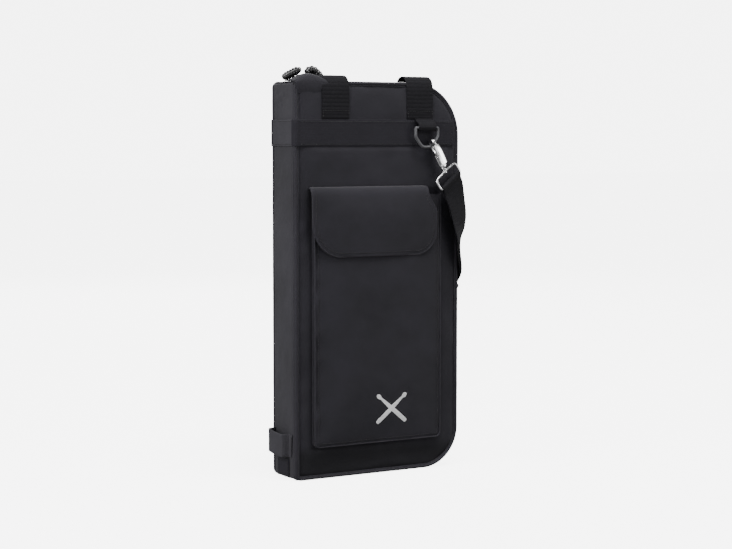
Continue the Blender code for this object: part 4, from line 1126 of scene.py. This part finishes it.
def add_spine():
    corners = (3.0, 3.0, 3.0, 3.0)
    grid = rounded_rows(*SPINE_EDGE, corners, 26, 190)

    def face(y, z):
        gap = edge_gap(y, z, *SPINE_EDGE, corners)
        return SPINE_X - spine_relief(y, z) + 0.9 * (1 - smooth(0, 3, gap)) ** 2

    def turned(y, x, z):
        return Vector((x, y, z))

    # The spine's cloth takes the painted-lit fabric.
    cushion("spine_cloth", grid, face, lambda y, z: SPINE_X + 2.5, "spine_fabric",
            place=turned, body="spine", replaces=["spine_panel"])
    board = rounded_rows(-21.6, 21.6, 8.6, 471.4, corners, 6, 40)
    cushion("spine_board", board, lambda y, z: SPINE_X + 2.95, lambda y, z: SPINE_X + 4.9, "board",
            place=turned, body="spine", replaces=["spine_stiffener"])
    for side, sign in SIDES.items():
        layer = [(-114.9, 24.2), (-114.2, 25.0), (-112.4, 25.6), (-111.0, 26.2), (-110.4, 27.4)]
        rings = []
        for z in range(8, 474, 5):
            face_line = [Vector((x, sign * y, z)) for x, y in layer]
            rings.append(face_line + [p + Vector((0.5, -sign * 0.5, 0)) for p in reversed(face_line)])
        strip = skinned(f"{side}_hinge_cloth", rings, "spine_fabric")
        world((-114.9, sign * 24.2, 240))
        world((-110.4, sign * 27.4, 240))
        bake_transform(strip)
    # The spine's stretch of the band takes the painted-lit webbing.
    points = [Vector((-116.95, y, BAND_Z)) for y in range(-24, 25, 2)]
    webbing("spine_band_web", points, [UP] * len(points), look="spine_band", **BAND_SHAPE,
            body="spine", replaces=["spine_band"])
    rows = [stitches("row", [(-117.6, y, z) for y in (-24, 24)], -ACROSS) for z in BAND_SEAMS]
    points = [Vector((-117.0, 0.0, z)) for z in (2.9, 6, 10, 14, 18, 22, 24.8)]
    webbing("spine_foot_tab", points, [BACKWARD] * len(points), look="band", **SPINE_WEB,
            body="spine", replaces=["spine_lower_tab"])
    box = [(-117.9, y, z) for y, z in ((-11.5, 5), (11.5, 5), (11.5, 22.4), (-11.5, 22.4), (-11.5, 5))]
    rows.append(stitches("row", evenly(box, 2.0), -ACROSS))
    lie, half_loop, stand = -117.0, 24.0, 10.5
    half = [(lie, -half_loop), (lie, -half_loop + 4.5), (lie - 2.4, -half_loop + 6.4),
            (lie - stand + 1.8, -half_loop + 7.6), (lie - stand, -half_loop + 10.0),
            (lie - stand - 0.6, -6.0), (lie - stand - 0.8, 0.0)]
    whole = half + [(x, -y) for x, y in reversed(half[:-1])]
    points = resampled([(x, y + 2.5, 44.0 + 0.1 * y) for x, y in whole], 0.8)
    # The foot loop takes the painted-lit webbing as well.
    webbing("spine_foot_loop", points, [UP] * len(points), look="spine_band", **SPINE_WEB,
            body="spine", replaces=["spine_webbing_loop"])
    for sign in (-1, 1):
        rows.append(stitches("row", [(-117.9, sign * 22.0, z) for z in (33, 55)], -ACROSS))
    merge("spine_stitches", rows, "spine")


# ---------------------------------------------------------------- front pocket and its flap

POCKET = (-92.5, 85.0, 40.0, 343.0)
POCKET_CORNERS = (6.0, 6.0, 0.6, 0.6)
POCKET_FRONT = -36.8
STITCH_IN = 4.2
TAPE = ((-45, 25), (297, 319))


def pocket_relief(x, z):
    gap = edge_gap(x, z, *POCKET, POCKET_CORNERS)
    rise = 1.3 * smooth(0, 40, gap) + 1.1 * wrinkle(x, z, 48, 4.4) + 0.5 * wrinkle(x, z, 17, 7.3)
    ripples = 0.5 * math.sin(z / 5.5 + 1.5 * wrinkle(x, z, 40, 1.1))
    rise += ripples * (1 - smooth(0, 16, x + 92)) * inside(x, z, -92, 85, 60, 300, 30)
    return rise - 1.0 * (1 - smooth(0, 3.5, gap)) ** 2


def pocket_border(step):
    """(x, z, outward x, outward z) down the left side, along the bottom and up the right side."""
    left, right, low, high = POCKET
    corner = POCKET_CORNERS[0]
    route = [(left, high, -1.0, 0.0)]
    route += arc((left + corner, low + corner), corner, 180, 270, 10)
    route += arc((right - corner, low + corner), corner, 270, 360, 10)
    return spread_route(route + [(right, high, 1.0, 0.0)], step)


def add_pocket():
    front = cushion(
        "pocket_front_cloth", rounded_rows(*POCKET, POCKET_CORNERS, 52, 96),
        lambda x, z: POCKET_FRONT - pocket_relief(x, z), lambda x, z: POCKET_FRONT + 1.6,
        "front_fabric", sim={"cap": 1.6},
        body="front_shell", replaces=["pocket_panel"],
    )
    route = pocket_border(2.4)

    def wall(i, s):
        found = []
        for k in range(9):
            t = k / 8
            fold = 0.9 * noise.noise(Vector((s / 16, t * 2, 3)))
            fold += 0.5 * noise.noise(Vector((s / 6, t * 3, 5)))
            found.append((-30.1 - 4.8 * t, math.sin(math.pi * t) * (0.3 + 0.6 * fold) - 0.3))
        return found + [(-34.9, -1.4), (-32.5, -1.5), (-30.1, -1.4)]

    rim_strip("pocket_side_cloth", route, wall, "gusset_fabric",
              body="front_shell", replaces=["pocket_gusset"])

    def lip(radius, y, out):
        def section(i, s):
            wave = 0.15 * noise.noise(Vector((s / 8, y, 1)))
            turns = [math.tau * j / 10 for j in range(10)]
            return [(y + wave + radius * math.sin(a), out + radius * math.cos(a)) for a in turns]
        return section

    seams = [rim_strip("lip", route, lip(0.9, -36.0, 0.05), "piping"),
             rim_strip("foot", route, lip(0.8, -30.4, 0.2), "piping")]
    merge("pocket_seams", seams, "front_shell")
    inset = [(x - nx * STITCH_IN, z - nz * STITCH_IN) for x, z, nx, nz in route if z < 336]
    inner = [(x, POCKET_FRONT - pocket_relief(x, z) - 0.2, z) for x, z in inset]
    stitches("pocket_stitches", inner, -BACKWARD, slot="front_fabric", body="front_shell")
    flat_plate("pocket_hook_strip", *TAPE, -38.0, -37.1, "hook_tape", cells=(30, 12), swell=0.15,
               seed=2.0, body="front_shell", replaces=["pocket_hook_tape"])
    return front


FLAP_PATH = [(-29.95, 353.0), (-32.5, 353.5), (-35.8, 352.7), (-38.6, 350.4), (-40.4, 346.6), (-41.4, 342.0),
             (-42.0, 334.0), (-42.3, 320.0), (-42.2, 300.0), (-41.7, 284.0), (-41.3, 272.0), (-41.2, 269.4)]


def flap_sides(z):
    """The flap's left and right edges at a height."""
    left, right, low = -98.0, 76.0, 269.0

    def cut(radius):
        near = max(0.0, radius - (z - low))
        return math.sqrt(max(0.0, radius**2 - near**2))

    return left + 42.0 - cut(42.0), right - 30.0 + cut(30.0) - 11.0 * smooth(320, 345, z)


def add_flap():
    path = resampled([(0, y, z) for y, z in FLAP_PATH], 2.4)
    columns, outer, inner = 60, [], []
    for i, p in enumerate(path):
        way = (path[min(i + 1, len(path) - 1)] - path[max(i - 1, 0)]).normalized()
        out = Vector((0, way.z, -way.y))
        out = out if out.y < 0 or (abs(out.y) < 0.5 and out.z > 0) else -out
        left, right = flap_sides(p.z)
        loose = 1 - smooth(318, 350, p.z)
        row, under = [], []
        for j in range(columns + 1):
            x = left + (right - left) * j / columns
            edge = min(x - left, right - x)
            swell = loose * (1.5 * smooth(0, 30, edge) + 0.8 * wrinkle(x, p.z, 42, 9.9)
                             + 0.3 * wrinkle(x, p.z, 15, 3.3))
            swell -= 0.5 * (1 - smooth(0, 3, edge)) ** 2
            row.append(Vector((x, p.y, p.z)) + out * max(-0.6, swell * 0.8))
            under.append(Vector((x, p.y, p.z)) - out * 1.7)
        outer.append(row)
        inner.append(under)
    vertices = [p for row in outer + inner for p in row]
    faces, _ = pad_faces(len(outer), columns + 1)
    piece("flap_cloth", vertices, outward(vertices, faces), "front_fabric",
          uvs=[(p.x * MM, p.z * MM) for p in vertices], body="flap", replaces=["pocket_flap"])
    borders = [[row[j].lerp(under[j], 0.5) for row, under in list(zip(outer, inner))[2:]] for j in (0, -1)]
    foot = [outer[-1][j].lerp(inner[-1][j], 0.5) for j in range(1, columns)]
    fine = evenly(borders[0] + foot + borders[1][::-1], 1.6)
    rod("flap_edge_binding", fine, 1.1, "piping", 10, body="flap")
    tree = BVHTree.FromPolygons([tuple(v) for v in vertices], faces)
    seam = []
    for k, p in enumerate(fine):
        way = (fine[min(k + 1, len(fine) - 1)] - fine[max(k - 1, 0)]).normalized()
        toward = Vector((-way.z, 0, way.x))
        toward = toward if toward.dot(Vector((-13, p.y, 315)) - p) > 0 else -toward
        p = p + toward.normalized() * 4.4
        hit = tree.ray_cast(Vector((p.x, -90, p.z)), BACKWARD)[0]
        if hit and p.z < 346:
            seam.append(hit - BACKWARD * 0.1)
    stitches("flap_stitches", seam, -BACKWARD, slot="front_fabric", body="flap")
    flat_plate("flap_loop_strip", *TAPE, -38.4, -39.3, "hook_tape", cells=(30, 12), swell=0.0,
               seed=4.0, body="flap", replaces=["flap_loop_tape"])


def add_print(front):
    """Two crossed drum sticks, printed on the pocket's cloth."""
    mesh = front.data
    tree = BVHTree.FromPolygons([tuple(v.co) for v in mesh.vertices],
                                [tuple(f.vertices) for f in mesh.polygons])
    middle, sticks = Vector((12.5, 81.0)), []
    profile = [(-27, 1.0), (-26.2, 2.3), (-22, 2.7), (4, 2.6), (14, 1.9), (19.4, 1.4), (20.4, 1.5),
               (21.8, 2.4), (24.2, 2.8), (26.2, 2.0), (27.2, 0.7)]
    for lean, above in ((-50, 0.0), (50, 0.05)):
        angle = math.radians(90 + lean)
        way = Vector((math.cos(angle), math.sin(angle)))
        side = Vector((-way.y, way.x))
        rings = []
        for station in evenly([Vector((s, w, 0)) for s, w in profile], 0.9):
            top, low = [], []
            for j in range(7):
                flat = middle + way * station.x + side * station.y * (j / 3 - 1)
                hit = tree.ray_cast(world((flat.x, -90, flat.y)), BACKWARD)[0]
                y = hit.y / MM - MIDDLE.y if hit else POCKET_FRONT
                top.append(Vector((flat.x, y - (0.16 - 0.08 * abs(j / 3 - 1) + above), flat.y)))
                low.append(Vector((flat.x, y + 0.1, flat.y)))
            rings.append(top + low[::-1])
        sticks.append(skinned("stick", rings, "print"))
    merge("crossed_sticks_emblem", sticks, "front_shell", ["pocket_print"])


# ---------------------------------------------------------------- zip sliders and the hump before them


def add_hump():
    marks = [(-115.2, 0.0), (-112, 3.0), (-105, 6.8), (-97, 8.7), (-91, 8.9), (-84, 7.6), (-78, 5.6),
             (-73.5, 3.2), (-70.5, 0.4)]

    def height(x):
        for (a, low), (b, high) in zip(marks, marks[1:]):
            if x <= b:
                return low + (high - low) * (x - a) / (b - a)
        return 0.0

    rings, top, under = [], HEIGHT, ((-16, 480.15), (-27.5, 479.0), (-29.2, 472.0))
    for k in range(46):
        x = -115.2 + 44.7 * k / 45
        h = height(x) + 0.25 * wrinkle(x, 480, 9, 2.0)
        foot = 0.6 * smooth(-75, -70.5, x) + 0.9 * (1 - smooth(-115.2, -111, x))
        outline = [(-29.5, 465.0), (-30.5 + foot, 470.0), (-30.8 + foot, 475.5),
                   (-30.3 + foot, 479.0 + 0.15 * h), (-28.0 + foot, top + 0.55 * h),
                   (-24.6, top + 0.86 * h), (-20.0, top + h),
                   (-15.0, top + 0.98 * h), (-11.0, top + 0.8 * h), (-8.6, top + 0.45 * h), (-7.7, 480.3)]
        fine = resampled([(x, y, z) for y, z in outline], 1.3)
        rings.append(evenly(fine, along(fine)[-1] / 30) + [Vector((x, y, z)) for y, z in under])
    uvs = [(p.x * MM, (p.y + p.z) * MM) for ring in rings for p in ring]
    hump = skinned("zip_end_hump", rings, "front_fabric", uvs=uvs, sharp=60, body="front_shell",
                   replaces=["zip_end_cover"])


SLIDER_X = {"left": -100.0, "right": -73.0}
PULL_ROUTES = {
    "left": [(-116.6, 484.0), (-111.2, 486.2), (-105.4, 488.8), (-99.6, 491.6), (-94.8, 493.2),
             (-91.4, 493.0)],
    "right": [(-85.0, 489.4), (-82.0, 492.2), (-78.0, 494.0), (-73.2, 493.0), (-69.0, 489.9),
              (-65.2, 487.0), (-61.8, 485.2)],
}


def add_slider(side):
    middle, top, under = SLIDER_X[side], HEIGHT + 0.1, HEIGHT - 4.7
    shape = [(-12, -3.1), (-3.6, -5.2), (12, -5.2), (12, 5.2), (-3.6, 5.2), (-12, 3.1)]
    parts = []
    for z, low_inset, squeeze in ((top, 0.2, 1.0), (under - 1.4, 0.7, 0.75)):
        rings = [[Vector((middle + x * (1 - inset / 12), y * (1 - inset / 5.2), z + height * squeeze))
                  for x, y in shape]
                 for height, inset in ((0.0, low_inset), (0.35, 0.0), (1.3, 0.0), (1.65, 0.35), (1.8, 0.9))]
        parts.append(skinned("plate", rings, "slider_metal", sharp=30))
    arch = [(-6.7, 1.0), (-6.7, 3.0), (-5.6, 4.3), (-3, 4.6)]
    arch += [(-x, z) for x, z in reversed(arch)]
    bridge = resampled([(middle + x, 0, top + z) for x, z in arch], 0.7)
    parts.append(rod("bridge", bridge, 0.95, "slider_metal", 12, squash=(1.35, 0.8)))
    web = [Vector((middle, 0, z)) for z in (under - 0.2, HEIGHT - 2, top + 0.4)]
    parts.append(rod("web", web, 0.6, "slider_metal", 8, squash=(0.35, 8.0)))
    merge(f"{side}_slider_metal", parts, f"{side}_slider", [f"{side}_zip_slider"])
    half = [(3.0, 483.0), (3.6, 485.4), (3.2, 488.6)]
    ring = [(0, 482.5), *half, (0, 490.0), *((-y, z) for y, z in reversed(half))]
    route = resampled([(middle + 1.5, y, z) for y, z in ring], 0.7, closed=True)[:-1]
    merge(f"{side}_pull_ring", [rod("ring", route, 0.75, "slider_metal", 10, True)], f"{side}_pull")
    route = resampled([(x, 0, z) for x, z in PULL_ROUTES[side]], 0.45)
    count = len(route) - 1

    def swell(i):
        t = i / count
        ends = math.sqrt(max(0.02, 1 - abs(2 * t - 1) ** 4.5))
        ridge = 0.5 + 0.5 * math.cos(math.tau * t * 7)
        return ends * (5.4 - 1.0 * ridge * inside(t, 0.5, 0.12, 0.88, 0, 1, 0.05))

    rod(f"{side}_pull_grip", route, [swell(i) for i in range(count + 1)], "pull_rubber", 20,
        squash=(1.0, 0.95), body=f"{side}_pull", replaces=[f"{side}_zip_pull"])


def main():
    add_camera()
    add_studio()
    for side in SIDES:
        add_panel(side)
        add_rim(side)
        add_inside(side)
        add_bands_and_loops(side)
    add_spine()
    add_print(add_pocket())
    add_flap()
    add_hump()
    for side in SLIDER_X:
        add_slider(side)
    lower, path, exit_point = add_strap()
    slide = add_hardware()
    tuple(exit_point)
    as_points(path)


main()
